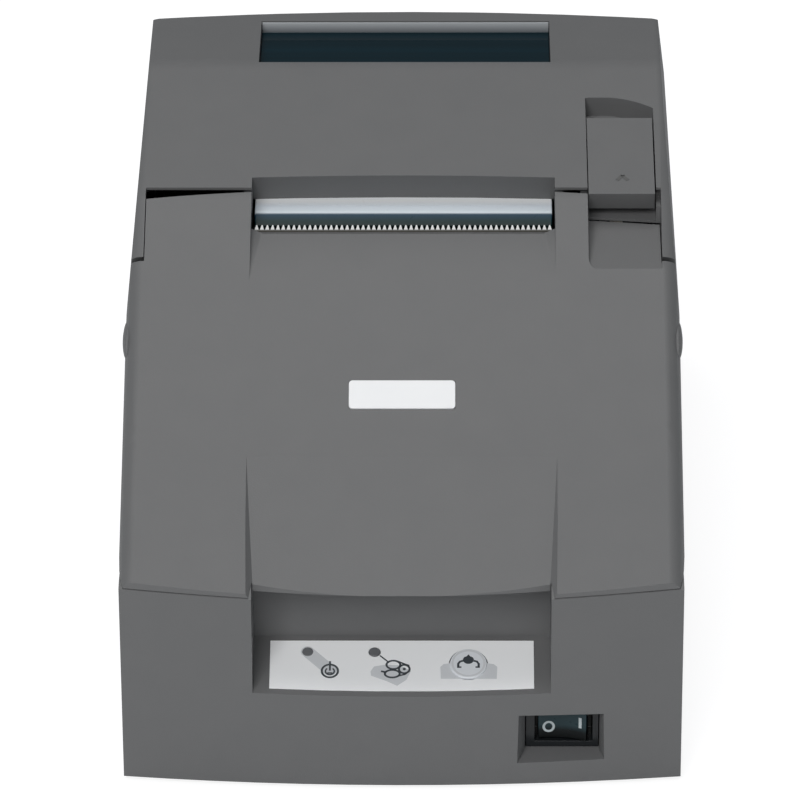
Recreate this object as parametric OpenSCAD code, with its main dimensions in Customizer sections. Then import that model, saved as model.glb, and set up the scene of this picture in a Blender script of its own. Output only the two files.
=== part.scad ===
/* [Covers] */
// Width over the two covers at the parting line
cover_w = 160; // [156:0.5:162]
// Overall depth, front face to rear face at the centre
case_d = 248; // [247:0.5:249]
// Height of the parting line between lower case and covers
seam_z = 64; // [63.5:0.1:64.5]
// Wall thickness of the mouldings
wall = 2.4; // [2:0.1:2.6]
// Gap between the covers and the lower case
gap = 0.4; // [0.3:0.05:0.5]
// Distance the front face leans back from floor to parting line
face_lean = 3.5; // [3:0.1:4]
// Plan radius of the bowed front face
face_r = 700; // [650:10:900]
// Height above which the sides of the covers lean in
shoulder_z = 104; // [100:0.5:106]
// Lean of those sides, degrees
shoulder_deg = 5.8; // [5:0.1:8]

/* [Cover hinges] */
// Front cover hinge axis, distance forward of the centre
front_hinge_y = 111; // [110.5:0.1:111.5]
// Front cover hinge axis height
front_hinge_z = 46; // [45.5:0.1:46.5]
// Radius of the parting line round the front hinge axis
front_arc_r = 18; // [17.5:0.1:18.5]
// Roll cover hinge axis, distance behind the centre
rear_hinge_y = 119.5; // [119:0.1:119.6]
// Roll cover hinge axis height
rear_hinge_z = 98; // [97.5:0.1:98.5]
// Radius of the hinge barrel on the roll cover
barrel_r = 4.4; // [4:0.1:4.5]

/* [Control panel] */
// Half width of the panel recess in the front face
panel_half = 42.2; // [41:0.1:43]
// Slope of the panel
panel_slope = 18.4; // [17:0.1:20]
// Diameter of the paper feed button
button_d = 10.5; // [9:0.1:11]

/* [Printing mechanism] */
// Height of the print line
print_z = 80; // [79:0.5:81]
// Radius of the paper feed roller
feed_r = 6; // [5.5:0.1:6.1]
// Radius of the pinch rollers
pinch_r = 4; // [3.6:0.1:4.1]
// Gear module
gear_m = 0.8; // [0.8:0.1:0.8]
// Teeth on the motor pinion
pinion_t = 12; // [12:1:12]
// Teeth on the idler gear
idler_t = 58; // [58:1:58]
// Teeth on the feed roller gear
feed_t = 26; // [26:1:26]
// Inside radius of the paper roll bucket
bucket_r = 44; // [42:0.5:44]

/* [Hidden] */
$fn = 64;
half_w = cover_w / 2;
lower_half = half_w - 0.5;
front_y = -case_d / 2;
rear_y = case_d / 2;
foot_h = 2;
lean_deg = atan(face_lean / (seam_z - foot_h));
rear_r = 750;

// Side outline of the covers: slope, chute line, roof edge, roof crease, rear edge
slope_low = [-135, 52.76];
crease_1 = [-79, 91.4];
crease_2 = [-29.5, 117.6];
roof_edge = [-6, 128.4];
crease_3 = [58, 138.3];
rear_top = [97, 135.4];
rear_low = [124, 101.5];
rear_slope_deg = atan2(rear_top.y - rear_low.y, rear_low.x - rear_top.x);

// Rounding of the long top edges: distance inside the half width, and drop
edge_steps = [[5, 0], [3.6, 0.35], [2.3, 1.2], [1.35, 2.6], [0.75, 4.4], [0.4, 6.8], [0, 12]];

// Front cover
lip_y = front_y + 6.7;
lip_r = 300;
tongue_half = 74.75;
seam_y = -2.65;
seam_r = 650;
seam_gap = 1.7;
roof_lip_y = -2.05;
chute_half = 44.2;
chute_y = -12.1;
chute_z = 120.3;
dip_top = [-84.5, 87.65];
dip_low = [-126, 54.6];
arm_x = [64, 68];

// Roll cover
ear_x = 75;
slit_r = 111;
exit_y = 3.6;
exit_lean = 20;
exit_wall = [7, 120.7];
window_half = 43.7;
window_y = [59, 90];
lever_x = [54, 73.3];
pocket_x = [53.7, 73.7];
pocket_end = 41;
lever_pin = [26, 128.3];

// Lower case recesses
panel_y = -122.6;
panel_z = 31.1;
panel_back = -101.5;
label_half = [37.5, 8.6];
label_t = 0.4;
switch_x = [31.7, 59.1];
switch_z = [8.4, 25.3];
rocker_size = [13.8, 9.2];
rocker_tilt = 7;

// Mechanism
frame_x = 58;
frame_t = 1.6;
frame_y = [-88, 6];
deck_z = 34;
feed_axis = [-0.6, 106];
pinch_axis = [feed_axis.x - feed_r - pinch_r - 0.8, 106];
motor_axis = [-6, 46];
shaft_axis = [-26, 64];
rail_axis = [-26, 93.5];
pulley_x = 50;
pulley_y = -30;
pulley_r = 5;
belt_z = [48, 52];
ribbon_drive = [36, -56];
bucket_axis = [56, 60];
latch_pin = [24, 112.5];
dsub_x = -22;
dsub_z = 17;
dsub_pitch = 47.04;
kick_x = 26;
power_x = 50;
deck_screw_at = [[-50, -80], [50, -80], [-50, -2], [24, -2]];
board_screw_at = [[-52, 94], [52, 94], [-52, 114], [38.8, 114]];
badge_mid = [0, -67.25, 97.62];
badge_deg = 27.9;

// Centre of a gear that meshes with two others whose centres are given
function mesh_at(p, q, a, b) =
    let (d = norm(q - p), u = (q - p) / d, s = (a * a - b * b + d * d) / (2 * d))
    p + u * s + [u.y, -u.x] * sqrt(a * a - s * s);
idler_axis = mesh_at(motor_axis, feed_axis, gear_m * (pinion_t + idler_t) / 2,
                     gear_m * (feed_t + idler_t) / 2);

// Turn of a meshing wheel: a gap of it faces a tooth of the wheel that drives it
function mesh_turn(line, turn, t_from, t_to) =
    line + 180 - 180 / t_to - (turn - line) * t_from / t_to;
pinion_to_idler = atan2(idler_axis.y - motor_axis.y, idler_axis.x - motor_axis.x);
idler_to_feed = atan2(feed_axis.y - idler_axis.y, feed_axis.x - idler_axis.x);
idler_turn = mesh_turn(pinion_to_idler, 0, pinion_t, idler_t);
feed_turn = mesh_turn(idler_to_feed, idler_turn, idler_t, feed_t);

// Points of a rounded corner between two straight lines
function fillet(a, b, c, r, n = 4) =
    let (u = (a - b) / norm(a - b), v = (c - b) / norm(c - b),
         half = acos(u * v) / 2, t = r / tan(half),
         m = b + (u + v) / norm(u + v) * r / sin(half),
         s = b + u * t - m, e = b + v * t - m)
    [for (k = [0:n]) let (w = (s * (n - k) + e * k) / n) m + w / norm(w) * r];

outline = concat([slope_low],
    fillet(slope_low, crease_1, crease_2, 90),
    fillet(crease_1, crease_2, roof_edge, 90, 2),
    fillet(crease_2, roof_edge, crease_3, 12),
    fillet(roof_edge, crease_3, rear_top, 28),
    [crease_3 + (rear_top - crease_3) * 1.9, [rear_y + 8, 40], [-135, 40]]);

// Places on the sloping panel: u along X, v down the slope from the label's middle, w above it
label_mid = [0, -111.65, panel_z + (-111.65 - panel_y) * tan(panel_slope) + 0.005];
module on_panel(u, v, w = 0)
    translate(label_mid) rotate([panel_slope, 0, 0]) translate([u, -v, w]) children();

module block(low, high) translate(low) cube(high - low);
module rod_x(at, r, x0, x1) translate([x0, at.x, at.y]) rotate([0, 90, 0]) cylinder(r = r, h = x1 - x0);
module rod_y(x, z, r, y0, y1) translate([x, y0, z]) rotate([-90, 0, 0]) cylinder(r = r, h = y1 - y0);
module rod_z(x, y, r, z0, z1) translate([x, y, z0]) cylinder(r = r, h = z1 - z0);
module rotate_about_x(at, deg) translate([0, at.x, at.y]) rotate([deg, 0, 0]) translate([0, -at.x, -at.y]) children();
module side_plate(x0, x1, points) translate([x0, 0, 0]) rotate([90, 0, 90]) linear_extrude(x1 - x0) polygon(points);

// Toothed wheel about X; turn sets the tooth that faces up
module gear_x(at, teeth, x0, x1, turn = 0) {
    r = gear_m * teeth / 2;
    step = 360 / teeth;
    root = r - 0.8;
    tip = r + 0.5;
    points = [for (k = [0:teeth - 1]) for (p = [[root, -0.30], [tip, -0.13], [tip, 0.13], [root, 0.30]])
        p[0] * [cos((k + p[1]) * step), sin((k + p[1]) * step)]];
    translate([x0, at.x, at.y]) rotate([90, 0, 90]) rotate(turn) linear_extrude(x1 - x0) polygon(points);
}

// ---- Body form ----

// Crowned block above the parting line, t inside the outer skin
module crowned_form(t) {
    hull() for (s = edge_steps) let (x = half_w - s[0] - t)
        translate([-x, 0, -s[1]]) rotate([90, 0, 90]) linear_extrude(2 * x) offset(delta = -t) polygon(outline);
}
// Sides stand upright to the shoulder and lean in above it
module skirt_form(t) {
    hull() for (z = [40, shoulder_z, 145]) let (x = half_w - t - max(0, z - shoulder_z) * tan(shoulder_deg))
        block([-x, front_y - 10, z], [x, rear_y + 5, z + 0.01]);
}
module front_bow(t) {
    rotate([-lean_deg, 0, 0]) translate([0, front_y + face_r, -20])
        cylinder(r = face_r - t, h = 190, $fn = 720);
}
module rear_bow(t) {
    translate([0, rear_top.x, rear_top.y]) rotate([90 - rear_slope_deg, 0, 0])
        translate([0, -rear_r, -300]) cylinder(r = rear_r - t, h = 640, $fn = 720);
}
module upper_form(t) {
    intersection() {
        crowned_form(t);
        skirt_form(t);
        front_bow(t);
        rear_bow(t);
        block([-90, -130, 0], [90, rear_y - t, 145]);
    }
}
module lower_form(t) {
    intersection() {
        front_bow(t);
        block([-lower_half + t, -130, foot_h + t], [lower_half - t, rear_y - t, 104]);
    }
}

// What lies in front of the bowed parting line between the two covers, or of a line g behind it
module seam_form(g) translate([0, seam_y - seam_r, 50]) cylinder(r = seam_r + g, h = 95, $fn = 720);
// Everything that belongs to the lower case, grown by g for the covers' clearance
module lower_zone(g) {
    block([-90, -front_hinge_y, -5], [90, 70, seam_z + g]);
    block([-90, -150, -5], [90, -front_hinge_y + 1, front_hinge_z]);
    rod_x([-front_hinge_y, front_hinge_z], front_arc_r + g, -90, 90, $fn = 180);
    side_plate(-90, 90, [[69, 0], [69, seam_z + g], [70, seam_z + g], [106, 90 + g], [112, 92 + g],
                         [rear_y + 6, 92 + g], [rear_y + 6, 0]]);
}
// Hinge ears beside the roll cover's barrel
module ear_zone(g) {
    for (side = [0, 1]) mirror([side, 0, 0]) {
        rod_x([rear_hinge_y, rear_hinge_z], barrel_r + g, 66.3 - g, 90);
        block([66.3 - g, rear_hinge_y - barrel_r - g, 80], [90, rear_y + 6, rear_hinge_z]);
    }
}

// ---- Lower case and what is fixed in it ----

// Space of the control panel recess: t is added all round for its walls
module panel_space(t) {
    slope = tan(panel_slope);
    side_plate(-panel_half - t, panel_half + t, [
        [-135, panel_z - t + (-135 - panel_y) * slope],
        [panel_back, panel_z - t + (panel_back - panel_y) * slope],
        [panel_back + t, panel_z - t + (panel_back - panel_y) * slope],
        [panel_back + t + 2, 66], [-135, 66]]);
}
// Tapered well of the power switch
module switch_well(t) {
    mid = [(switch_x[0] + switch_x[1]) / 2, (switch_z[0] + switch_z[1]) / 2];
    hull() {
        translate([mid.x, -126, mid.y]) cube([switch_x[1] - switch_x[0] + 2 * t, 1, switch_z[1] - switch_z[0] + 2 * t],
                                             center = true);
        translate([45.6, -116.6 + t / 2, 16.6]) cube([20.4 + 2 * t, 0.1 + t, 13.1 + 2 * t], center = true);
    }
}
module rear_cutouts() {
    block([dsub_x - 20, rear_y - 4, dsub_z - 5.6], [dsub_x + 20, rear_y + 1, dsub_z + 5.6]);
    for (side = [-1, 1]) rod_y(dsub_x + side * dsub_pitch / 2, dsub_z, 3.3, rear_y - 4, rear_y + 1);
    block([kick_x - 7.2, rear_y - 4, 9.4], [kick_x + 7.2, rear_y + 1, 23.3]);
    rod_y(power_x, 16.5, 5.2, rear_y - 4, rear_y + 1);
}
module lower_case() color("dimgray") {
    difference() {
        union() {
            difference() {
                lower_form(0);
                lower_form(wall);
            }
            intersection() {
                lower_form(0.2);
                union() {
                    panel_space(wall);
                    switch_well(2);
                    // Ribs that carry the front cover's hinge pins
                    for (side = [0, 1]) mirror([side, 0, 0]) for (x = [60.4, 69])
                        side_plate(x, x + 2.6, [[-122, 34], [-112, 34], [-106.5, 40], [-106.5, 49], [-109, 51.5],
                                                [-122, 51.5]]);
                }
            }
            // Rear ears round the roll cover's hinge rod
            for (side = [0, 1]) mirror([side, 0, 0]) {
                rod_x([rear_hinge_y, rear_hinge_z], barrel_r, 66.3, 70.8);
                block([66.3, rear_hinge_y - barrel_r, 84], [70.8, rear_y - 0.5, rear_hinge_z]);
                block([66.3, 113, 84], [78, rear_y - 0.5, 92]);
            }
            // Posts under the deck and the boards
            for (p = deck_screw_at) rod_z(p.x, p.y, 3.2, foot_h, deck_z);
            for (p = board_screw_at) rod_z(p.x, p.y, 2.6, foot_h, 8);
        }
        panel_space(0);
        switch_well(0);
        block([45.6 - 10.6, -119, 9.9], [45.6 + 10.6, -110, 23.3]);
        rear_cutouts();
        // The top edge follows the parting line
        difference() {
            block([-90, -140, 44], [90, 140, 110]);
            lower_zone(0);
            ear_zone(0);
        }
        rod_x([rear_hinge_y, rear_hinge_z], barrel_r + gap, -66.3, 66.3);
        block([-66.3, rear_hinge_y - 6, 92], [66.3, rear_y + 1, 110]);
        rod_x([rear_hinge_y, rear_hinge_z], 1.52, -80, 80);
        rod_x([-front_hinge_y, front_hinge_z], 1.52, -73, 73);
        // Button, lamps and screws
        on_panel(18.9, 0, -6) cylinder(d = button_d + 0.6, h = 12);
        for (u = [-26.8, -7.75]) on_panel(u, -4.5, -6) cylinder(r = 1.75, h = 12);
        for (p = deck_screw_at) rod_z(p.x, p.y, 1.25, foot_h + 4, deck_z + 1);
        for (p = board_screw_at) rod_z(p.x, p.y, 0.9, foot_h + 1, 9);
        // Foot sockets
        for (x = [-62, 62], y = [-96, 96]) rod_z(x, y, 6.1, foot_h - 1, foot_h + 0.8);
        // Slots in the floor
        for (k = [-4:4]) block([-30 + k * 6 + 25, 20, 0], [-30 + k * 6 + 28, 60, foot_h + wall + 1]);
    }
}
module rubber_feet() color("black") {
    for (x = [-62, 62], y = [-96, 96]) {
        rod_z(x, y, 6, foot_h - 0.9, foot_h + 0.8);
        translate([x, y, 0]) cylinder(r1 = 5.2, r2 = 6, h = foot_h - 0.9);
    }
}
module panel_label() color("whitesmoke") {
    difference() {
        // Its lower edge follows the bow of the case
        on_panel(0, 0) linear_extrude(label_t) polygon(concat(
            [[-label_half[0], label_half[1]], [label_half[0], label_half[1]]],
            [for (k = [10:-1:-10]) let (u = label_half[0] * k / 10) [u, -label_half[1] - 0.9 + pow(k / 10, 2)]]));
        on_panel(18.9, 0, -1) cylinder(d = button_d + 0.6, h = 4);
        for (u = [-26.8, -7.75]) on_panel(u, -4.5, -1) cylinder(r = 1.75, h = 4);
    }
}
module feed_button() color("lightgray") {
    on_panel(18.9, 0, -4.2) cylinder(d = button_d, h = 5.1);
    on_panel(18.9, 0, -6.0) cylinder(r = 2, h = 2);
}
module lamp(u) {
    on_panel(u, -4.5, -7.5) cylinder(r = 1.6, h = 8.1);
    on_panel(u, -4.5, -7.5) cylinder(r = 2.1, h = 1);
}
module power_lamp() color("dimgray") lamp(-26.8);
module paper_lamp() color("dimgray") lamp(-7.75);
module panel_board() color("seagreen") {
    on_panel(0, 0, -8.3) cube([68, 13, 1.6], center = true);
    on_panel(18.9, 0, -7.5) translate([-3, -3, 0]) cube([6, 6, 0.2]);
    for (x = [-31, 31]) on_panel(x, 0, -7.5) cylinder(r = 1.8, h = 1.2);
}
module power_switch() color("black") {
    difference() {
        block([45.6 - 10.4, -116.2, 10.1], [45.6 + 10.4, -102, 23.1]);
        block([46 - 8.2, -117, 17.15 - 5.2], [46 + 8.2, -109, 17.15 + 5.2]);
    }
    for (x = [40, 46, 52]) block([x - 0.4, -102, 15], [x + 0.4, -97, 19]);
    rod_z(46, -113, 1, 11.95, 22.35);
}
module power_rocker() color("black") {
    difference() {
        translate([46, -113, 17.15]) rotate([0, 0, -rocker_tilt]) union() {
            translate([-rocker_size.x / 2, -3.4, -rocker_size.y / 2]) cube([rocker_size.x, 4.2, rocker_size.y]);
            cylinder(r = 2.4, h = rocker_size.y, center = true);
        }
        rod_z(46, -113, 1.05, 8, 26);
        // The face dips in the middle, so either end can be pressed
        translate([46, -113, 17.15]) rotate([0, 0, -rocker_tilt]) translate([0, -3.4 - 21.4, -10])
            cylinder(r = 22.4, h = 20, $fn = 120);
    }
}
module main_board() color("seagreen") {
    difference() {
        block([-56, -92, 8], [56, 8, 9.6]);
        for (p = deck_screw_at) rod_z(p.x, p.y, 3.5, 7, 11);
    }
    for (x = [-30, 5], y = [-60, -30]) block([x, y, 9.6], [x + 18, y + 18, 11.4]);
    for (x = [30, 36, 42]) rod_z(x, -62, 2.5, 9.6, 13);
}
module interface_board() color("seagreen") {
    difference() {
        block([-56, 90, 8], [58, 118, 9.6]);
        for (p = board_screw_at) rod_z(p.x, p.y, 1.1, 7, 11);
    }
}
module board_screws() color("silver") {
    for (p = board_screw_at) {
        rod_z(p.x, p.y, 0.88, 4, 9.6);
        rod_z(p.x, p.y, 2, 9.6, 10.8);
    }
}
module dsub_socket() color("silver") {
    difference() {
        union() {
            block([dsub_x - 26.5, 118, dsub_z - 6.2], [dsub_x + 26.5, 119.2, dsub_z + 6.2]);
            block([dsub_x - 19.4, 110, dsub_z - 5], [dsub_x + 19.4, 123.8, dsub_z + 5]);
            block([dsub_x - 19.4, 108, 9.6], [dsub_x + 19.4, 112, dsub_z]);
        }
        for (side = [-1, 1]) rod_y(dsub_x + side * dsub_pitch / 2, dsub_z, 1.6, 110, 122);
        block([dsub_x - 18.6, 114, dsub_z - 4.2], [dsub_x + 18.6, 125, dsub_z + 4.2]);
    }
}
module jackscrews() color("silver") {
    for (side = [-1, 1]) translate([dsub_x + side * dsub_pitch / 2, 0, dsub_z]) rotate([-90, 0, 0])
        difference() {
            union() {
                translate([0, 0, 112]) cylinder(r = 1.55, h = 7.3);
                translate([0, 0, 119.2]) cylinder(r = 2.75, h = 4.8, $fn = 6);
            }
            translate([0, 0, 119.8]) cylinder(r = 1.42, h = 6);
        }
}
module drawer_jack() color("black") {
    difference() {
        block([kick_x - 7, 106, 9.6], [kick_x + 7, 123.6, 23.1]);
        block([kick_x - 5.2, 110, 12], [kick_x + 5.2, 125, 20.5]);
    }
}
module power_jack() color("black") {
    difference() {
        union() {
            block([power_x - 5.5, 108, 9.6], [power_x + 5.5, 120.5, 21.6]);
            rod_y(power_x, 16.5, 5, 120, 123.8);
        }
        rod_y(power_x, 16.5, 3.6, 112, 125);
    }
    rod_y(power_x, 16.5, 1, 111, 122.5);
}

// ---- Paper bucket ----

module bucket_form(r, x, top) {
    rod_x(bucket_axis, r, -x, x, $fn = 120);
    block([-x, bucket_axis.x - r, bucket_axis.y], [x, bucket_axis.x + r, top]);
}
module paper_bucket() color("gray") {
    difference() {
        union() {
            bucket_form(bucket_r + 1.6, 42, 90);
            for (x = [-36, 36], y = [32, 80]) rod_z(x, y, 3, foot_h + wall, 40);
        }
        bucket_form(bucket_r, 40.4, 130);
        block([-44, bucket_axis.x + 20, 78], [44, 130, 140]);
        block([-43, 36, 34], [-39, 46, 44]);
    }
}
module near_end_lever() color("black") {
    difference() {
        union() {
            side_plate(-45.2, -43, [[40, 20], [44, 20], [44, 41.5], [38, 41.5]]);
            rod_x([42, 22], 3.2, -45.2, -43);
        }
        rod_x([42, 22], 1.05, -46, -42);
    }
    side_plate(-43, -38.6, [[38.6, 36.5], [43.4, 36.5], [43.4, 41.4], [38.6, 41.4]]);
}
module near_end_pin() color("silver") {
    rod_x([42, 22], 1, -46.6, -42);
    block([-49.6, 39, foot_h + wall], [-46.6, 45, 25]);
}

// ---- Printing mechanism ----

module base_deck() color("silver") {
    difference() {
        block([-frame_x, frame_y[0], deck_z], [frame_x, frame_y[1], deck_z + 1.5]);
        for (p = deck_screw_at) rod_z(p.x, p.y, 1.6, deck_z - 1, deck_z + 3);
        rod_z(-pulley_x, pulley_y, 4, deck_z - 1, deck_z + 3);
    }
}
module deck_screws() color("silver") {
    for (p = deck_screw_at) {
        rod_z(p.x, p.y, 1.22, deck_z - 12, deck_z + 1.5);
        rod_z(p.x, p.y, 2.8, deck_z + 1.5, deck_z + 3.4);
    }
}
module side_frame() {
    difference() {
        side_plate(frame_x, frame_x + frame_t, [[frame_y[0], deck_z], [frame_y[0], 70], [-70, 78], [-44, 100],
            [-18, 111.5], [6, 111.5], [frame_y[1], deck_z]]);
        rod_x(shaft_axis, 3.01, 50, 70);
        rod_x(rail_axis, 2.01, 50, 70);
        rod_x(feed_axis, 2.55, 50, 70);
        rod_x(pinch_axis, 1.55, 50, 70);
    }
}
module left_frame() color("silver") mirror([1, 0, 0]) side_frame();
module right_frame() color("silver") {
    difference() {
        union() {
            side_frame();
            side_plate(frame_x, frame_x + frame_t, [[4, 96], [4, 111.5], [20, 116], [28, 116], [28, 106]]);
        }
        rod_x(idler_axis, 2.01, 50, 70);
        rod_x(motor_axis, 5.6, 50, 70);
        rod_x(latch_pin, 1.51, 50, 70);
        rod_x(feed_axis, 2.55, 50, 70);
        rod_x([12, 106], 3, 50, 70);
    }
}
module latch_stud() color("silver") {
    rod_x(latch_pin, 1.5, frame_x - 0.8, 66);
    rod_x(latch_pin, 2.6, frame_x - 2, frame_x - 0.01);
}
module idler_stud() color("silver") {
    rod_x(idler_axis, 2, frame_x - 0.8, 66);
    rod_x(idler_axis, 3, 65.2, 66.2);
}
module platen() color("black") {
    block([-43, -6.2, print_z - 11], [43, -2.4, print_z + 11]);
    block([-frame_x, -6.0, print_z + 11], [frame_x, 5, print_z + 12.6]);
    block([-frame_x, -2.4, print_z - 9], [frame_x, -1.2, print_z + 11]);
}
module carriage_shaft() color("silver") {
    rod_x(shaft_axis, 3, -frame_x - 3, frame_x + 3);
    for (side = [0, 1]) mirror([side, 0, 0]) rod_x(shaft_axis, 4, frame_x + frame_t, frame_x + frame_t + 0.8);
}
module guide_rail() color("silver") {
    rod_x(rail_axis, 2, -frame_x - 2.4, frame_x + 2.4);
}
module carriage() color("black") {
    difference() {
        union() {
            block([-11, -35, 55.5], [11, -15, 71]);
            block([-7, -28, 47], [7, -22, 56]);
            block([-6, -30, 71], [6, -22, 97]);
        }
        rod_x(shaft_axis, 3.05, -20, 20);
        rod_x(rail_axis, 2.3, -20, 20);
        block([-8, -25.9, belt_z[0] - 2], [8, -24.1, belt_z[1] + 0.4]);
    }
}
module print_head() color("dimgray") {
    difference() {
        union() {
            rod_y(0, print_z, 9, -21.9, -15);
            rod_y(0, print_z, 6.5, -15, -13);
            block([-2.2, -13.5, print_z - 5], [2.2, -10.6, print_z + 5]);
            block([-9, -21.9, 71], [9, -19, 78]);
        }
        for (k = [0:3]) difference() {
            rod_y(0, print_z, 9.5, -20.9 + k * 1.5, -20.2 + k * 1.5);
            rod_y(0, print_z, 7.5, -21 + k * 1.5, -20 + k * 1.5);
        }
    }
}
module drive_belt() color("black") {
    difference() {
        union() {
            for (x = [-pulley_x, pulley_x]) rod_z(x, pulley_y, pulley_r + 0.6, belt_z[0] + 0.4, belt_z[1] - 0.4);
            block([-pulley_x, pulley_y - pulley_r - 0.6, belt_z[0] + 0.4],
                  [pulley_x, pulley_y + pulley_r + 0.6, belt_z[1] - 0.4]);
        }
        for (x = [-pulley_x, pulley_x]) rod_z(x, pulley_y, pulley_r - 0.3, belt_z[0], belt_z[1]);
        block([-pulley_x, pulley_y - pulley_r + 0.3, belt_z[0]], [pulley_x, pulley_y + pulley_r - 0.3, belt_z[1]]);
    }
}
module pulley(x, bottom) {
    rod_z(x, pulley_y, pulley_r - 0.6, belt_z[0] - 0.6, belt_z[1] + 0.6);
    for (z = [belt_z[0] - 1.4, belt_z[1] + 0.2]) rod_z(x, pulley_y, pulley_r + 1.2, z, z + 0.8);
    rod_z(x, pulley_y, 2.2, bottom, belt_z[0]);
}
module drive_pulley() color("ivory") pulley(-pulley_x, deck_z + 0.4);
module idle_pulley() color("ivory") {
    difference() {
        pulley(pulley_x, deck_z + 2.4);
        rod_z(pulley_x, pulley_y, 1.05, deck_z, 60);
    }
}
module pulley_post() color("silver") {
    rod_z(pulley_x, pulley_y, 1, deck_z + 1.5, belt_z[1] + 2.4);
    rod_z(pulley_x, pulley_y, 3, deck_z + 1.5, deck_z + 2);
}
module carriage_motor() color("silver") {
    rod_z(-pulley_x, pulley_y, 12.5, 14, deck_z);
    rod_z(-pulley_x, pulley_y, 3, deck_z, deck_z + 0.1);
}
module feed_motor() color("silver") {
    rod_x(motor_axis, 10.4, 32, frame_x);
    rod_x(motor_axis, 5.5, frame_x, frame_x + frame_t);
}
module motor_pinion() color("ivory") {
    gear_x(motor_axis, pinion_t, 60.4, 64.4);
    rod_x(motor_axis, 1.5, 59.9, 65.4);
}
module idler_gear() color("ivory") {
    difference() {
        union() {
            gear_x(idler_axis, idler_t, 60.6, 64.2, idler_turn);
            rod_x(idler_axis, 5, 60.2, 64.9);
        }
        rod_x(idler_axis, 2.06, 58, 68);
        for (k = [0:5]) rotate_about_x(idler_axis, k * 60) rod_x([idler_axis.x, idler_axis.y + 13], 4, 58, 68);
    }
}
module feed_gear() color("ivory") {
    gear_x(feed_axis, feed_t, 60.6, 64.2, feed_turn);
    rod_x(feed_axis, 4.5, 59.9, 66);
}
module feed_roller() color("black") {
    rod_x(feed_axis, 2.5, -62, 59.9);
    for (x = [-32, -10.5, 11, 32.5]) rod_x(feed_axis, feed_r, x - 7, x + 7);
}
module pinch_rollers() color("dimgray") {
    rod_x(pinch_axis, 1.5, -60.2, 60.2);
    for (x = [-32, -10.5, 11, 32.5]) rod_x(pinch_axis, pinch_r, x - 5, x + 5);
}
module ribbon_cassette() color("black") {
    difference() {
        union() {
            block([-52, -74, 73], [52, -38, 87]);
            for (side = [0, 1]) mirror([side, 0, 0]) block([45.5, -38.5, 74], [51.5, -8.6, 86]);
        }
        block([-49, -71, 75], [49, -41, 85]);
        for (side = [0, 1]) mirror([side, 0, 0]) block([44, -10.6, 73], [50.2, -8, 87]);
        rod_z(ribbon_drive.x, ribbon_drive.y, 6.4, 70, 90);
    }
}
module ink_ribbon() color("indigo") {
    block([-50, -9.7, 74.5], [50, -9.4, 85.5]);
    block([-46, -69, 75.3], [24, -43, 84.7]);
}
module ribbon_knob() color("gray") {
    difference() {
        union() {
            rod_z(ribbon_drive.x, ribbon_drive.y, 5.9, 74.5, 86);
            rod_z(ribbon_drive.x, ribbon_drive.y, 7.6, 87.4, 90.4);
            rod_z(ribbon_drive.x, ribbon_drive.y, 3.4, 85.9, 87.5);
        }
        for (k = [0:11]) translate([ribbon_drive.x, ribbon_drive.y, 87]) rotate(k * 30) translate([7.9, 0, 0])
            cylinder(r = 0.8, h = 4, $fn = 16);
    }
    rod_z(ribbon_drive.x, ribbon_drive.y, 2, deck_z + 14.6, 74.6);
}
module ribbon_bearing() color("silver") {
    difference() {
        rod_z(ribbon_drive.x, ribbon_drive.y, 5, deck_z + 1.5, deck_z + 18);
        rod_z(ribbon_drive.x, ribbon_drive.y, 2.05, deck_z + 14, deck_z + 20);
    }
}
module cassette_rests() color("silver") {
    for (side = [0, 1]) mirror([side, 0, 0]) side_plate(53, frame_x, [[-72, 71.6], [-72, 73], [-56, 73], [-56, 71.6]]);
    for (side = [0, 1]) mirror([side, 0, 0]) side_plate(50.5, 53.01, [[-72, 71.6], [-72, 73], [-56, 73], [-56, 71.6]]);
}

// ---- Front cover ----

// Dip in the middle of the cover's slope: t is added for the wall under it
module dip_space(t) {
    drop = t / cos(36);
    hull() {
        for (side = [-1, 1]) {
            translate([side * (44 + t) - 0.05, dip_top.x - t / 4, dip_top.y - drop]) cube([0.1, 0.1, 0.1]);
            translate([side * (46 + t) - 0.05, dip_top.x - t / 4, dip_top.y + 3]) cube([0.1, 0.1, 0.1]);
            translate([side * (41 + t) - 0.05, dip_low.x, dip_low.y - drop]) cube([0.1, 0.1, 0.1]);
            translate([side * (44.4 + t) - 0.05, dip_low.x, dip_low.y + 6]) cube([0.1, 0.1, 0.1]);
            translate([side * (46 + t) - 0.05, dip_low.x, 92]) cube([0.1, 0.1, 0.1]);
        }
    }
}
// Chute of the paper exit with the wall t under it
module chute_wall(t) {
    side_plate(-chute_half - t, chute_half + t, [[-33.4 - t, 115.7 - t], [chute_y + 13.4, chute_z + 1.7 - t],
        [chute_y + 13.4, 145], [-33.4 - t, 145]]);
}
// The chute's sides lean in towards its floor
module chute_space() {
    floor_y = chute_y - 1.1;
    hull() for (side = [-1, 1], p = [[chute_half, -33.4, 115.7], [chute_half, -33.4, 145], [chute_half, floor_y, 145],
        [chute_half, floor_y, chute_z + 1.3], [chute_half - 3.4, floor_y, chute_z - 0.4]])
        translate([side * (p.x - 0.01) - 0.01, p.y, p.z]) cube([0.02, 0.01, 0.01]);
    block([-chute_half, floor_y, chute_z], [chute_half, 20, 145]);
}
module scoop_space(t) {
    intersection() {
        side_plate(lever_x[0] - 0.3 - t, ear_x - 0.1 + t, [[-29.6 - t, 117.1 - t], [8, 120.8 - t],
            [8, 145], [-29.6 - t, 145]]);
        union() {
            block([lever_x[0] + 3.7, -45, 90], [90, 20, 150]);
            block([lever_x[0] - 3, -26.3, 90], [90, 20, 150]);
            translate([lever_x[0] + 3.7, -26.3, 90]) cylinder(r = 4 + t, h = 60);
        }
    }
}
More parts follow.
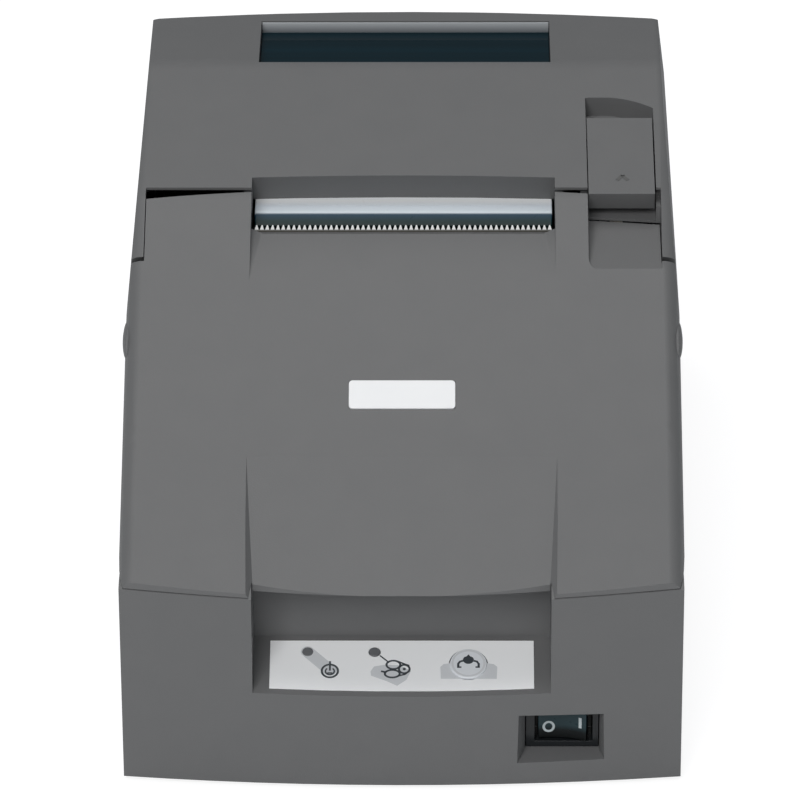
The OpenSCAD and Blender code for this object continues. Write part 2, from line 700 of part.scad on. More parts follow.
module front_cover_shell() {
    intersection() {
        upper_form(0);
        union() {
            intersection() {
                block([-tongue_half, -130, 50], [tongue_half, 10, 140]);
                seam_form(0);
            }
            rod_x([-front_hinge_y, front_hinge_z], slit_r, -90, 90, $fn = 720);
        }
        difference() {
            block([-90, -130, 50], [90, 10, 140]);
            difference() {
                upper_form(wall);
                dip_space(wall);
                chute_wall(wall);
                scoop_space(wall);
            }
        }
    }
}
module front_cover() color("gray") {
    difference() {
        union() {
            difference() {
                front_cover_shell();
                // Parting line with the lower case, beside the control panel recess
                for (side = [0, 1]) mirror([side, 0, 0]) intersection() {
                    lower_zone(gap);
                    block([panel_half - 0.3, -150, -10], [100, 140, 150]);
                }
                // Lip over the control panel
                block([-panel_half, -140, 0], [panel_half, 20, 61.6]);
                difference() {
                    block([-panel_half, -140, 50], [panel_half, -108, 66.5]);
                    translate([0, lip_y + lip_r, 40]) cylinder(r = lip_r, h = 40, $fn = 360);
                }
            }
            // Thumb grips on the sides
            for (side = [-1, 1]) translate([side * (half_w - 1), -43.5, 101.8]) scale([1, 5.6, 2.8]) sphere(r = 1.6);
            // Hinge arms
            for (side = [0, 1]) mirror([side, 0, 0]) {
                rod_x([-front_hinge_y, front_hinge_z], 3.4, arm_x[0], arm_x[1]);
                side_plate(arm_x[0], arm_x[1], [[-front_hinge_y, front_hinge_z - 2.6], [-87, front_hinge_z - 2.6],
                    [-87, 84], [-92, 81], [-92, front_hinge_z + 2], [-front_hinge_y, front_hinge_z + 2]]);
            }
        }
        dip_space(0);
        chute_space();
        scoop_space(0);
        rod_x([-front_hinge_y, front_hinge_z], 1.56, -80, 80);
        // Shallow seat of the badge
        badge_form(0.15, 0.4, 1);
        block([-chute_half, chute_y, 100], [chute_half, 20, 145]);
    }
}
module badge_form(grow, sunk, proud) {
    w = 15.2 + grow;
    h = 4.7 + grow;
    r = 1.1;
    translate(badge_mid) rotate([badge_deg, 0, 0]) translate([0, 0, -sunk]) {
        translate([-w + r, -h, 0]) cube([2 * (w - r), 2 * h, sunk + proud]);
        translate([-w, -h + r, 0]) cube([2 * w, 2 * (h - r), sunk + proud]);
        for (x = [-w + r, w - r], y = [-h + r, h - r]) translate([x, y, 0]) cylinder(r = r, h = sunk + proud, $fn = 32);
    }
}
module badge_plate() color("white") badge_form(0, 0.4, 0.35);
module tear_bar() color("ivory") {
    teeth = 56;
    half = 43.4;
    pitch = 2 * half / teeth;
    rear = chute_y - 0.5;
    points = concat([[half, chute_y - 0.9], [-half, chute_y - 0.9], [-half, rear]],
        [for (k = [0:teeth - 1]) for (p = [[0.12, 0], [0.4, 2.8], [0.6, 2.8], [0.88, 0]])
            [-half + (k + p[0]) * pitch, rear + p[1]]],
        [[half, rear]]);
    translate([0, 0, chute_z]) linear_extrude(0.5) polygon(points);
}
module front_hinge_pins() color("silver") {
    for (side = [0, 1]) mirror([side, 0, 0]) {
        rod_x([-front_hinge_y, front_hinge_z], 1.5, 60.4, 71.6);
        rod_x([-front_hinge_y, front_hinge_z], 2.4, 59.4, 60.4);
    }
}

// ---- Roll cover ----

function roof_z(y) = roof_edge.y + (crease_3.y - roof_edge.y) * (y - roof_edge.x) / (crease_3.x - roof_edge.x);
module window_space(t, depth) {
    side_plate(-window_half - t, window_half + t, [[window_y[0] - t, 137.8 - depth], [window_y[1] + t, 135.7 - depth],
        [window_y[1] + t, 150], [window_y[0] - t, 150]]);
}
module pocket_space(t) {
    intersection() {
        side_plate(pocket_x[0] - t, pocket_x[1] + t, [[-20, 119.6 - t], [4, 119.6 - t], [20, 122.3 - t],
            [31 + t, 124 - t], [pocket_end + t, 129.5 - t], [pocket_end + t, 150], [-20, 150]]);
        union() {
            block([40, -30, 100], [90, pocket_end - 25.8, 150]);
            translate([58, pocket_end - 25.8, 100]) cylinder(r = 26 + t, h = 50, $fn = 120);
        }
    }
}
// Wall at the paper exit: it leans back under the roof's bowed edge
module exit_flange() {
    side_plate(-chute_half - 2.4, chute_half + 2.4, [[-10, exit_wall[1]], [exit_wall[0] + 2.2, exit_wall[1]],
        [exit_wall[0] - 2.6, 134], [-10, 145]]);
}
module exit_space() {
    intersection() {
        block([-chute_half, -30, 100], [chute_half, 30, 145]);
        translate([0, exit_y, 130]) rotate([exit_lean, 0, 0]) translate([0, -1000, -60])
            cylinder(r = 1000, h = 120, $fn = 1440);
    }
}
module barrel_web() {
    side_plate(-66, 66, [[rear_hinge_y - 3, rear_hinge_z + 1], [rear_hinge_y + 3, rear_hinge_z + 1.5],
                         [121.4, 105], [116.2, 107.8]]);
}
module roll_cover_shell() {
    intersection() {
        upper_form(0);
        difference() {
            block([-90, -45, 50], [90, 140, 145]);
            rod_x([-front_hinge_y, front_hinge_z], slit_r + 1.4, -91, 91, $fn = 720);
            intersection() {
                block([-ear_x, -60, 40], [ear_x, 30, 150]);
                seam_form(seam_gap);
            }
            block([-ear_x, -60, 124.5], [ear_x, roof_lip_y, 150]);
            // The roof's front edge thins to a lip over the parting line
            side_plate(-ear_x, ear_x, [[roof_lip_y - 1, roof_z(roof_lip_y) - 0.8],
                [roof_lip_y, roof_z(roof_lip_y) - 0.8], [roof_lip_y + 2.6, roof_z(roof_lip_y) - 2.6],
                [roof_lip_y + 2.6, 124.5], [roof_lip_y - 1, 124.5]]);
            // The floor below the lever thins in the same way towards the parting line
            side_plate(lever_x[0] - 4, ear_x, [[-9, 118.9], [-2.6, 118.9], [-0.6, 116.9], [-9, 116.9]]);
        }
        difference() {
            block([-90, -45, 50], [90, 140, 145]);
            difference() {
                upper_form(wall);
                window_space(1.6, 6.6);
                pocket_space(2);
                exit_flange();
            }
        }
    }
}
module roll_cover() color("gray") {
    difference() {
        union() {
            difference() {
                roll_cover_shell();
                lower_zone(gap);
                ear_zone(gap);
                // Rear edge stops short of the barrel, so it swings clear of the case
                block([-90, 112, 60], [90, 130, 103.6]);
            }
            rod_x([rear_hinge_y, rear_hinge_z], barrel_r, -66, 66);
            barrel_web();
        }
        rod_x([rear_hinge_y, rear_hinge_z], 1.56, -80, 80);
        exit_space();
        window_space(0, 4.9);
        window_space(-2.5, 9);
        pocket_space(0);
        // Slot for the lever's hook
        block([59.8, 12, 110], [65.2, 27, 126]);
        rod_x(lever_pin, 1.27, 50, 75.2);
    }
}
// Smoked pane with a bevelled lip along its rear edge
module window_pane() color("darkslategray", 0.6) {
    x = window_half - 0.15;
    y = [window_y[0] + 0.15, window_y[1] - 0.15];
    side_plate(-x, x, [[y[0], 132.9], [y[1], 130.8], [y[1], 135.6], [y[1] - 0.4, 135.6], [y[1] - 1.4, 132.7],
        [y[0], 134.4]]);
}
module exit_guide() color("lightsteelblue") {
    side_plate(-43.5, 43.5, [[exit_wall[0], exit_wall[1]], [-1.2, 120.4], [-4.2, 117.2], [-3.4, 116.6], [-0.6, 119.3],
        [7.6, 119.6], [9.2, exit_wall[1]]]);
}
module hinge_rod() color("silver") {
    rod_x([rear_hinge_y, rear_hinge_z], 1.5, -70.7, 70.7);
}
module open_lever() color("gray") {
    difference() {
        union() {
            side_plate(lever_x[0], lever_x[1], [[-4.9, roof_z(-4.9) - 0.1], [31.3, roof_z(31.3) - 0.1],
                [31.3, roof_z(31.3) - 3.2], [1.2, roof_z(1.2) - 3.4], [-0.6, 122.3], [-2.6, 122.3]]);
            rod_x(lever_pin, 2.8, lever_x[0], lever_x[1]);
            // Hook that holds the roll cover shut
            side_plate(60.5, 64.5, [[17.4, 129], [17.2, 108.4], [21.5, 108.4], [20.4, 111], [20.2, 122], [26, 127]]);
        }
        rod_x(lever_pin, 1.3, 50, 80);
        // Shallow rounded chevron sunk in the lever's top
        translate([64, 3.9, roof_z(3.9) - 0.1]) rotate([8.8, 0, 0]) for (turn = [-34, 34])
            rotate([0, 0, turn]) translate([0, 0, 1.25]) rotate([90, 0, 0]) cylinder(r = 1.5, h = 3);
    }
}
module lever_pin_rod() color("silver") rod_x(lever_pin, 1.25, 51.8, 75.1);

lower_case();
rubber_feet();
panel_label();
feed_button();
power_lamp();
paper_lamp();
panel_board();
power_switch();
power_rocker();
main_board();
interface_board();
board_screws();
dsub_socket();
jackscrews();
drawer_jack();
power_jack();
paper_bucket();
near_end_lever();
near_end_pin();
base_deck();
deck_screws();
left_frame();
right_frame();
latch_stud();
idler_stud();
platen();
carriage_shaft();
guide_rail();
carriage();
print_head();
drive_belt();
drive_pulley();
idle_pulley();
pulley_post();
carriage_motor();
feed_motor();
motor_pinion();
idler_gear();
feed_gear();
feed_roller();
pinch_rollers();
ribbon_cassette();
ink_ribbon();
ribbon_knob();
ribbon_bearing();
cassette_rests();
front_cover();
badge_plate();
tear_bar();
front_hinge_pins();
roll_cover();
window_pane();
exit_guide();
hinge_rod();
open_lever();
lever_pin_rod();
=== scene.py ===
import math
import random

import bmesh
import bpy
from mathutils import Matrix, Vector


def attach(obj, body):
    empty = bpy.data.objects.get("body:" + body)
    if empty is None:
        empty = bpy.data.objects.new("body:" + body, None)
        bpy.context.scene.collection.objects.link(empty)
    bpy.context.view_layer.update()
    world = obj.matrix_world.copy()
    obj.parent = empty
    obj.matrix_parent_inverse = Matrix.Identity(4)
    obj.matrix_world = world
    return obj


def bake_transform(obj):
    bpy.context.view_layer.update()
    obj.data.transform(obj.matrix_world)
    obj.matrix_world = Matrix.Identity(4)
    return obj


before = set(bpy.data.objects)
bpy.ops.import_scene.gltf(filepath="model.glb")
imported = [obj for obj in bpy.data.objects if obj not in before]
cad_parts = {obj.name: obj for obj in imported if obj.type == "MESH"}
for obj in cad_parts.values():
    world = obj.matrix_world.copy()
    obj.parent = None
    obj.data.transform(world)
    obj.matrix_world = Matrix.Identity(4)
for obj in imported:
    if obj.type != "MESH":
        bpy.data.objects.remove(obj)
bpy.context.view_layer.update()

MM = 0.001

# ---- Camera -----------------------------------------------------------------
# A long lens 1.78 m away looks down by 31 degrees on the middle of the
# printer, a little from the right, as the photograph was taken.
CAMERA_TARGET = Vector((-1.3, 0, 55.5)) * MM
CAMERA_DISTANCE = 1.78
CAMERA_ELEVATION = math.radians(31)
CAMERA_YAW = math.radians(0.6)
CAMERA_ROLL = math.radians(-0.3)
SENSOR_WIDTH = 36
PHOTO_WIDTH = 800
FOCAL_PIXELS = 5970

camera_data = bpy.data.cameras.new("camera")
camera_data.sensor_width = SENSOR_WIDTH
camera_data.lens = FOCAL_PIXELS * SENSOR_WIDTH / PHOTO_WIDTH
camera_data.clip_start = 0.1
camera_data.clip_end = 20
camera = bpy.data.objects.new("camera", camera_data)
bpy.context.scene.collection.objects.link(camera)
bpy.context.scene.camera = camera
to_camera = Vector((
    math.sin(CAMERA_YAW) * math.cos(CAMERA_ELEVATION),
    -math.cos(CAMERA_YAW) * math.cos(CAMERA_ELEVATION),
    math.sin(CAMERA_ELEVATION),
))
level_right = (-to_camera).cross(Vector((0, 0, 1))).normalized()
level_up = level_right.cross(-to_camera)
right = level_right * math.cos(CAMERA_ROLL) + level_up * math.sin(CAMERA_ROLL)
up = level_up * math.cos(CAMERA_ROLL) - level_right * math.sin(CAMERA_ROLL)
turn = Matrix((right, up, to_camera)).transposed().to_4x4()
camera.matrix_world = Matrix.Translation(CAMERA_TARGET + to_camera * CAMERA_DISTANCE) @ turn

# ---- Floor and light --------------------------------------------------------
# A white sweep in a photo studio: a weak even surround, one large soft lamp
# overhead and one in front and above, both a little to the left.
FLOOR_SIZE = 6.0
FLOOR_WHITE = (0.90, 0.91, 0.92)
FLOOR_SEEN = (0.30, 0.30, 0.31)
FLOOR_GLOW = 0.86
PLAIN_WHITE = (1, 1, 1)
SURROUND_LIGHT = 0.17
SURROUND_COLOUR = (0.88, 0.95, 1.0)
LAMP_TARGET = Vector((0, 0, 0.06))
LAMP_SIZE = 1.6
LAMP_COLOUR = (1, 0.99, 0.98)


def set_inputs(tree, node, inputs):
    """Gives each input of a node its value or colour, or links another node's output to it."""
    for name, value in inputs.items():
        socket = node.inputs[name]
        if isinstance(value, bpy.types.NodeSocket):
            tree.links.new(value, socket)
        elif socket.type == "RGBA":
            socket.default_value = (*value, 1)
        else:
            socket.default_value = value


def add_node(tree, kind, inputs):
    node = tree.nodes.new("ShaderNode" + kind)
    set_inputs(tree, node, inputs)
    return node


def mix_colours(tree, factor, first, second):
    """Mixes two colours, each a plain one or another node's output."""
    mix = tree.nodes.new("ShaderNodeMix")
    mix.data_type = "RGBA"
    set_inputs(tree, mix, {"Factor": factor, "A": first, "B": second})
    return mix.outputs["Result"]


def new_material(name):
    """A material and its node tree, still empty."""
    material = bpy.data.materials.new(name)
    material.use_nodes = True
    material.node_tree.nodes.clear()
    return material, material.node_tree


def studio_floor():
    mesh = bpy.data.meshes.new("floor")
    half = FLOOR_SIZE / 2
    corners = [(-half, -half, 0), (half, -half, 0), (half, half, 0), (-half, half, 0)]
    mesh.from_pydata(corners, [], [(0, 1, 2, 3)])
    floor = bpy.data.objects.new("floor", mesh)
    bpy.context.scene.collection.objects.link(floor)
    material, tree = new_material("floor_paper")
    seen = add_node(tree, "LightPath", {}).outputs["Is Camera Ray"]
    strength = add_node(tree, "Math", {0: seen, 1: FLOOR_GLOW})
    strength.operation = "MULTIPLY"
    paper = add_node(tree, "BsdfDiffuse", {"Color": mix_colours(tree, seen, FLOOR_WHITE, FLOOR_SEEN)})
    glow = add_node(tree, "Emission", {"Color": PLAIN_WHITE, "Strength": strength.outputs[0]})
    both = add_node(tree, "AddShader", {0: paper.outputs[0], 1: glow.outputs[0]})
    add_node(tree, "OutputMaterial", {"Surface": both.outputs[0]})
    mesh.materials.append(material)


def studio_surround():
    world = bpy.data.worlds.new("surround")
    bpy.context.scene.world = world
    world.use_nodes = True
    tree = world.node_tree
    tree.nodes.clear()
    ray = add_node(tree, "LightPath", {})
    either = add_node(tree, "Math", {0: ray.outputs["Is Camera Ray"], 1: ray.outputs["Is Transmission Ray"]})
    either.operation = "MAXIMUM"
    surround = add_node(tree, "Background", {"Color": SURROUND_COLOUR, "Strength": SURROUND_LIGHT})
    backdrop = add_node(tree, "Background", {"Color": PLAIN_WHITE, "Strength": 1.0})
    mix = add_node(tree, "MixShader", {0: either.outputs[0], 1: surround.outputs[0], 2: backdrop.outputs[0]})
    add_node(tree, "OutputWorld", {"Surface": mix.outputs[0]})


def soft_lamp(name, place, watts):
    lamp_data = bpy.data.lights.new(name, "AREA")
    lamp_data.shape = "RECTANGLE"
    lamp_data.size = LAMP_SIZE
    lamp_data.size_y = LAMP_SIZE
    lamp_data.energy = watts
    lamp_data.color = LAMP_COLOUR
    lamp = bpy.data.objects.new(name, lamp_data)
    bpy.context.scene.collection.objects.link(lamp)
    lamp.location = place
    lamp.rotation_euler = (LAMP_TARGET - Vector(place)).to_track_quat("-Z", "Y").to_euler()


studio_floor()
studio_surround()
soft_lamp("overhead", (-0.25, 0.70, 2.95), watts=31)
soft_lamp("front_key", (-0.50, -2.15, 2.10), watts=50)
bpy.context.scene.view_settings.view_transform = "Standard"

# ---- Lower case, front cover, roll cover and opening lever ------------------
# Four injection mouldings in one dark grey plastic with a fine spark-eroded
# grain. Outer edges carry a small radius from the mould.
CASE_GREY = (0.150, 0.151, 0.153)
CASE_GREY_SOFT = (0.138, 0.140, 0.143)
CASE_GRAIN = 2600
MOTTLE_SCALE = 90
PLASTIC_IOR = 1.46
PLASTIC_UNEVEN = 0.06
BUMP_DISTANCE = 0.0002
FLAT_WITHIN = math.radians(0.8)


def place_on(tree):
    """The place on the object, in metres, by which every texture is laid."""
    return add_node(tree, "TexCoord", {}).outputs["Object"]


def add_noise(tree, place, scale, detail=2, roughness=0.5):
    inputs = {"Vector": place, "Scale": scale, "Detail": detail, "Roughness": roughness}
    return add_node(tree, "TexNoise", inputs).outputs["Fac"]


def add_range(tree, value, low, high, start=0.0, end=1.0):
    """Turns a value between start and end into one between low and high."""
    inputs = {"Value": value, "From Min": start, "From Max": end, "To Min": low, "To Max": high}
    return add_node(tree, "MapRange", inputs).outputs["Result"]


def close_material(tree, inputs, height=None, strength=0.0, distance=BUMP_DISTANCE):
    """Ends a material in one shader, with a bump where there is a height for it."""
    if height is not None:
        bump = add_node(tree, "Bump", {"Height": height, "Strength": strength, "Distance": distance})
        inputs["Normal"] = bump.outputs["Normal"]
    shader = add_node(tree, "BsdfPrincipled", inputs)
    add_node(tree, "OutputMaterial", {"Surface": shader.outputs[0]})


def moulded_plastic(name, colour, second, grain, depth, roughness):
    """Moulded plastic: two close shades in a soft mottle, and a fine eroded grain."""
    material, tree = new_material(name)
    place = place_on(tree)
    eroded = add_noise(tree, place, grain, roughness=0.6)
    shade = mix_colours(tree, add_noise(tree, place, MOTTLE_SCALE, detail=3), colour, second)
    rough = add_range(tree, eroded, roughness - PLASTIC_UNEVEN, roughness + PLASTIC_UNEVEN)
    close_material(tree, {"Base Color": shade, "Roughness": rough, "IOR": PLASTIC_IOR}, eroded, depth)
    return material


def finish_node(name, material, edge=0.0, segments=2, angle=30):
    """Gives a CAD node its material and rounds its edges, by millimetres, as the mould does."""
    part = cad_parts[name]
    part.data.materials.clear()
    part.data.materials.append(material)
    for polygon in part.data.polygons:
        polygon.use_smooth = True
    if edge <= 0:
        return
    weld = part.modifiers.new("weld", "WELD")
    weld.merge_threshold = 0.02 * MM
    flat = part.modifiers.new("flat_faces", "DECIMATE")
    flat.decimate_type = "DISSOLVE"
    flat.angle_limit = FLAT_WITHIN
    bevel = part.modifiers.new("edge_radius", "BEVEL")
    bevel.width = edge * MM
    bevel.segments = segments
    bevel.limit_method = "ANGLE"
    bevel.angle_limit = math.radians(angle)
    bevel.use_clamp_overlap = True
    bevel.harden_normals = True
    smooth = part.modifiers.new("even_shading", "WEIGHTED_NORMAL")
    smooth.keep_sharp = True
    smooth.weight = 80


case_plastic = moulded_plastic("case_plastic", CASE_GREY, CASE_GREY_SOFT, CASE_GRAIN,
                               depth=0.25, roughness=0.55)
finish_node("lower_case", case_plastic, edge=0.6, segments=3)
finish_node("front_cover", case_plastic, edge=0.7, segments=3)
finish_node("roll_cover", case_plastic, edge=0.7, segments=3)
finish_node("open_lever", case_plastic, edge=0.5, segments=3, angle=45)

# ---- Badge plate ------------------------------------------------------------
# A small blank plate of white plastic, glued into a shallow seat on the front
# cover's slope. Its face is satin and its edge slightly rolled.
badge_white = moulded_plastic("badge_white", (0.88, 0.89, 0.90), (0.84, 0.85, 0.87), grain=4200,
                              depth=0.06, roughness=0.32)
finish_node("badge_plate", badge_white, edge=0.15)

# ---- Window of the roll cover -----------------------------------------------
# A smoked clear pane, clipped into the roof so that the paper roll can be seen.
# Its rear edge is a bevel that the mould leaves frosted. It is painted pale as a painted highlight, brighter
# towards the top, with painted shade lower down.
PANE_TEAL = (0.001, 0.007, 0.010)
PANE_TEAL_BAND = (0.003, 0.022, 0.034)
PANE_BANDS = (4, 420, 4)
PANE_LIP = (88.40 * MM, 88.50 * MM)
PANE_LIP_HIGHLIGHT = (0.40, 0.42, 0.44)
PANE_LIP_SHADE = (0.09, 0.10, 0.11)
PANE_LIP_HEIGHT = (132.7 * MM, 135.6 * MM)
PANE_POLISH = 0.06
PANE_LIP_ROUGHNESS = 0.45
PANE_IOR = 1.49
PANE_GLOSS = 0.12


def smoked_pane():
    material, tree = new_material("smoked_pane")
    place = place_on(tree)
    stretched = add_node(tree, "Mapping", {"Vector": place, "Scale": PANE_BANDS})
    bands = add_noise(tree, stretched.outputs[0], 1)
    axes = add_node(tree, "SeparateXYZ", {0: place}).outputs
    lip = add_range(tree, axes["Y"], 0, 1, *PANE_LIP)
    height = add_range(tree, axes["Z"], 0, 1, *PANE_LIP_HEIGHT)
    teal = mix_colours(tree, bands, PANE_TEAL, PANE_TEAL_BAND)
    # The bevel's colour is a painted highlight at its top that fades to painted shade at its foot.
    lip_highlight_and_shade = mix_colours(tree, height, PANE_LIP_SHADE, PANE_LIP_HIGHLIGHT)
    close_material(tree, {
        "Base Color": mix_colours(tree, lip, teal, lip_highlight_and_shade),
        "Roughness": add_range(tree, lip, PANE_POLISH, PANE_LIP_ROUGHNESS),
        "IOR": PANE_IOR,
        "Specular IOR Level": PANE_GLOSS,
    })
    return material


finish_node("window_pane", smoked_pane(), edge=0.2)

# ---- Paper guide in the exit ------------------------------------------------
# A polished guide strip hooked under the roof's edge. Its upper face is painted pale as a painted
# reflection, brightening to a painted highlight towards its rear; the lip that dips towards the feed roller
# is painted dark as painted shade, with a dark teal painted reflection, and is glossy.
GUIDE_SPAN = (-4.2 * MM, 7.0 * MM)
GUIDE_REFLECTION_AND_SHADE = (
    (0.00, (0.004, 0.014, 0.014)),
    (0.10, (0.008, 0.030, 0.032)),
    (0.22, (0.026, 0.062, 0.100)),
    (0.26, (0.700, 0.770, 0.820)),
    (0.55, (0.780, 0.850, 0.920)),
    (0.80, (0.960, 0.980, 1.000)),
)
POLISH_SCALE = 700
POLISH_UNEVEN = 0.08


def light_and_shade_bands(name, axis, span, bands, roughness, gloss=0.5):
    """Colour painted in bands across the piece as painted light and shade, with a fine polish on it."""
    material, tree = new_material(name)
    place = place_on(tree)
    axes = add_node(tree, "SeparateXYZ", {0: place}).outputs
    ramp = add_node(tree, "ValToRGB", {"Fac": add_range(tree, axes[axis], 0, 1, *span)})
    steps = ramp.color_ramp.elements
    while len(steps) < len(bands):
        steps.new(0.5)
    for step, (position, colour) in zip(steps, bands):
        step.position = position
        step.color = (*colour, 1)
    polish = add_noise(tree, place, POLISH_SCALE, detail=3)
    rough = add_range(tree, polish, roughness - POLISH_UNEVEN, roughness + POLISH_UNEVEN)
    close_material(tree, {
        "Base Color": ramp.outputs["Color"],
        "Roughness": rough,
        "Specular IOR Level": gloss,
    }, polish, strength=0.05)
    return material


guide_reflection_and_shade = light_and_shade_bands("guide_reflection_and_shade", "Y", GUIDE_SPAN, GUIDE_REFLECTION_AND_SHADE, roughness=0.3, gloss=0.15)
finish_node("exit_guide", guide_reflection_and_shade, edge=0.4)

# ---- Cutting edge of the exit -----------------------------------------------
# A stamped steel strip with 56 teeth, fixed under the front cover's chute. The tips are
# painted near white as a painted highlight; the strip's front edge is painted dark bronze brown as painted
# shade.
TOOTH_SPAN = (-13.0 * MM, -9.8 * MM)
TOOTH_GLINT_AND_SHADE = (
    (0.00, (0.075, 0.070, 0.060)),
    (0.10, (0.320, 0.325, 0.320)),
    (0.25, (0.860, 0.870, 0.860)),
    (1.00, (0.900, 0.910, 0.900)),
)
finish_node("tear_bar", light_and_shade_bands("cutting_edge_glint_and_shade", "Y", TOOTH_SPAN, TOOTH_GLINT_AND_SHADE, roughness=0.35))

# ---- Control panel overlay --------------------------------------------------
# A satin film glued on the sloping panel: silver white, with grey bands and
# dark line symbols printed on it. Holes in it let the lamps and button through.
PANEL_SLOPE = math.radians(18.4)
LABEL_MIDDLE = Vector((0, -111.65, 34.748))
LABEL_TOP = 0.4
INK_HEIGHT = 0.03
LAMP_AT = (-26.8, 4.5)
POWER_AT = (-20.4, -2.4)
BAND_RADIUS = 1.95
BOLD = 0.6
MEDIUM = 0.5
panel_turn = Matrix.Rotation(PANEL_SLOPE, 3, "X")


def on_panel(u, up, height):
    """Millimetres on the panel, from the label's middle, to a place in metres."""
    return (LABEL_MIDDLE + panel_turn @ Vector((u, up, height))) * MM


def on_label(u, up, height):
    return on_panel(u, up, LABEL_TOP + height)


def add_piece(name, mesh, material, body, smooth=False):
    """Makes an object of a finished mesh and fixes it to its body; None where it bends between two."""
    piece = bpy.data.objects.new(name, mesh)
    bpy.context.scene.collection.objects.link(piece)
    mesh.materials.append(material)
    for polygon in mesh.polygons:
        polygon.use_smooth = smooth
    if body is not None:
        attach(piece, body)
    return piece


def ellipse(u, up, radius_u, radius_up, count=40):
    return [(u + radius_u * math.cos(math.tau * k / count),
             up + radius_up * math.sin(math.tau * k / count)) for k in range(count)]


def ring(u, up, radius_u, radius_up, width):
    return [ellipse(u, up, radius_u + width / 2, radius_up + width / 2),
            ellipse(u, up, radius_u - width / 2, radius_up - width / 2)]


def arc(u, up, radius, start, stop, count=20):
    turns = [math.radians(start + (stop - start) * k / count) for k in range(count + 1)]
    return [(u + radius * math.cos(t), up + radius * math.sin(t)) for t in turns]


def to_edge(points, k, width):
    """The step from a line's point k to the left edge of a band of this width along it."""
    before = points[max(k - 1, 0)]
    after = points[min(k + 1, len(points) - 1)]
    length = math.hypot(after[0] - before[0], after[1] - before[1])
    return (-(after[1] - before[1]) / length * width / 2,
            (after[0] - before[0]) / length * width / 2)


def line_of(points, width):
    """The outline of a line drawn through the points with a pen of the given width."""
    steps = [to_edge(points, k, width) for k in range(len(points))]
    left = [(u + du, up + dup) for (u, up), (du, dup) in zip(points, steps)]
    right = [(u - du, up - dup) for (u, up), (du, dup) in zip(points, steps)]
    return [left + right[::-1]]


def print_marks(name, shapes, thickness, place, material, body):
    """Thin marks on a surface. A shape is a list of outlines in millimetres, the later ones holes."""
    marks = bmesh.new()
    for outlines in shapes:
        curve = bpy.data.curves.new(name, "CURVE")
        curve.dimensions = "2D"
        curve.fill_mode = "BOTH"
        curve.extrude = thickness / 2
        for outline in outlines:
            spline = curve.splines.new("POLY")
            spline.points.add(len(outline) - 1)
            for point, (u, up) in zip(spline.points, outline):
                point.co = (u, up, 0, 1)
            spline.use_cyclic_u = True
        drawn = bpy.data.objects.new(name, curve)
        filled = bpy.data.meshes.new_from_object(drawn)
        marks.from_mesh(filled)
        bpy.data.objects.remove(drawn)
        bpy.data.curves.remove(curve)
        bpy.data.meshes.remove(filled)
    bmesh.ops.remove_doubles(marks, verts=marks.verts, dist=0.0005)
    for vertex in marks.verts:
        vertex.co = place(vertex.co.x, vertex.co.y, vertex.co.z + thickness / 2)
    mesh = bpy.data.meshes.new(name)
    marks.to_mesh(mesh)
    marks.free()
    return add_piece(name, mesh, material, body)


overlay_film = moulded_plastic("overlay_film", (0.97, 0.98, 0.995), (0.95, 0.965, 0.98), grain=3600,
                               depth=0.05, roughness=0.36)
light_ink = moulded_plastic("light_grey_ink", (0.68, 0.70, 0.725), (0.65, 0.67, 0.70), grain=5200,
                            depth=0.04, roughness=0.45)
dark_ink = moulded_plastic("dark_ink", (0.060, 0.070, 0.080), (0.045, 0.055, 0.065), grain=5200,
                           depth=0.04, roughness=0.45)
finish_node("panel_label", overlay_film, edge=0.1, segments=1)

power_u, power_up = POWER_AT
lamp_band = arc(*LAMP_AT, BAND_RADIUS, 32, 212) + arc(power_u, power_up + 0.3, BAND_RADIUS, 212, 392)
paper_shade = [(-8.9, -2.6), (-7.9, -0.8), (-4.6, -0.1), (-0.4, -0.4), (2.6, -2.4), (1.3, -5.6),
               (-1.3, -7.7), (-4.4, -6.0), (-8.7, -4.1)]
feed_band = [(11.1, -5.2), (26.9, -5.2), (27.1, -0.9), (26.1, 0.1), (24.4, 0.4), (13.6, 0.4),
             (11.9, 0.1), (10.9, -0.9)]
print_marks("panel_bands", [[lamp_band], [paper_shade], [feed_band]], INK_HEIGHT / 2, on_label,
            light_ink, "chassis")
power_symbol = [
    ring(*POWER_AT, 2.3, 2.3, BOLD),
    line_of(arc(power_u, power_up - 0.1, 1.25, 128, 412), 0.45),
    line_of([(power_u, power_up + 0.1), (power_u, power_up + 3.5)], 0.55),
    line_of([(power_u - 0.75, power_up - 0.75), (power_u + 0.75, power_up - 0.75)], MEDIUM),
]
paper_symbol = [
    ring(-2.4, -0.2, 1.95, 1.5, BOLD),
    ring(-2.7, -3.4, 2.1, 1.35, BOLD),
    ring(0.7, -1.7, 1.5, 1.5, BOLD),
    [ellipse(0.7, -1.7, 0.45, 0.45, 16)],
    line_of([(-1.1, 1.05), (0.9, 0.0), (2.1, -0.5)], MEDIUM),
    line_of([(-1.0, -4.2), (0.9, -3.6), (2.2, -2.4)], MEDIUM),
    line_of([(-5.9, -2.5), (-4.4, -2.9)], BOLD),
    line_of([(-6.3, 3.2), (-3.9, 0.9)], 0.4),
]
print_marks("panel_symbols", power_symbol + paper_symbol, INK_HEIGHT, on_label, dark_ink,
            "chassis")

# ---- Lamps and their board --------------------------------------------------
# Two smoked lenses stand just proud of the overlay, each over a lamp on the
# small board behind the panel. The board also carries the button's switch.
smoked_lens = moulded_plastic("smoked_lens", (0.165, 0.170, 0.180), (0.130, 0.136, 0.144), grain=900,
                              depth=0.05, roughness=0.18)
finish_node("power_lamp", smoked_lens, edge=0.35, segments=3)
finish_node("paper_lamp", smoked_lens, edge=0.35, segments=3)

# ---- Paper feed button ------------------------------------------------------
# A round satin key that slides in the panel on a tactile switch. A grey ring
# and a generic fingertip symbol are printed on it.
BUTTON_AT = 18.9
BUTTON_TOP = 0.9
BUTTON_RING = 4.55
ARM_WIDTH = 0.65


def on_button(u, up, height):
    return on_panel(BUTTON_AT + u, up, BUTTON_TOP + height)


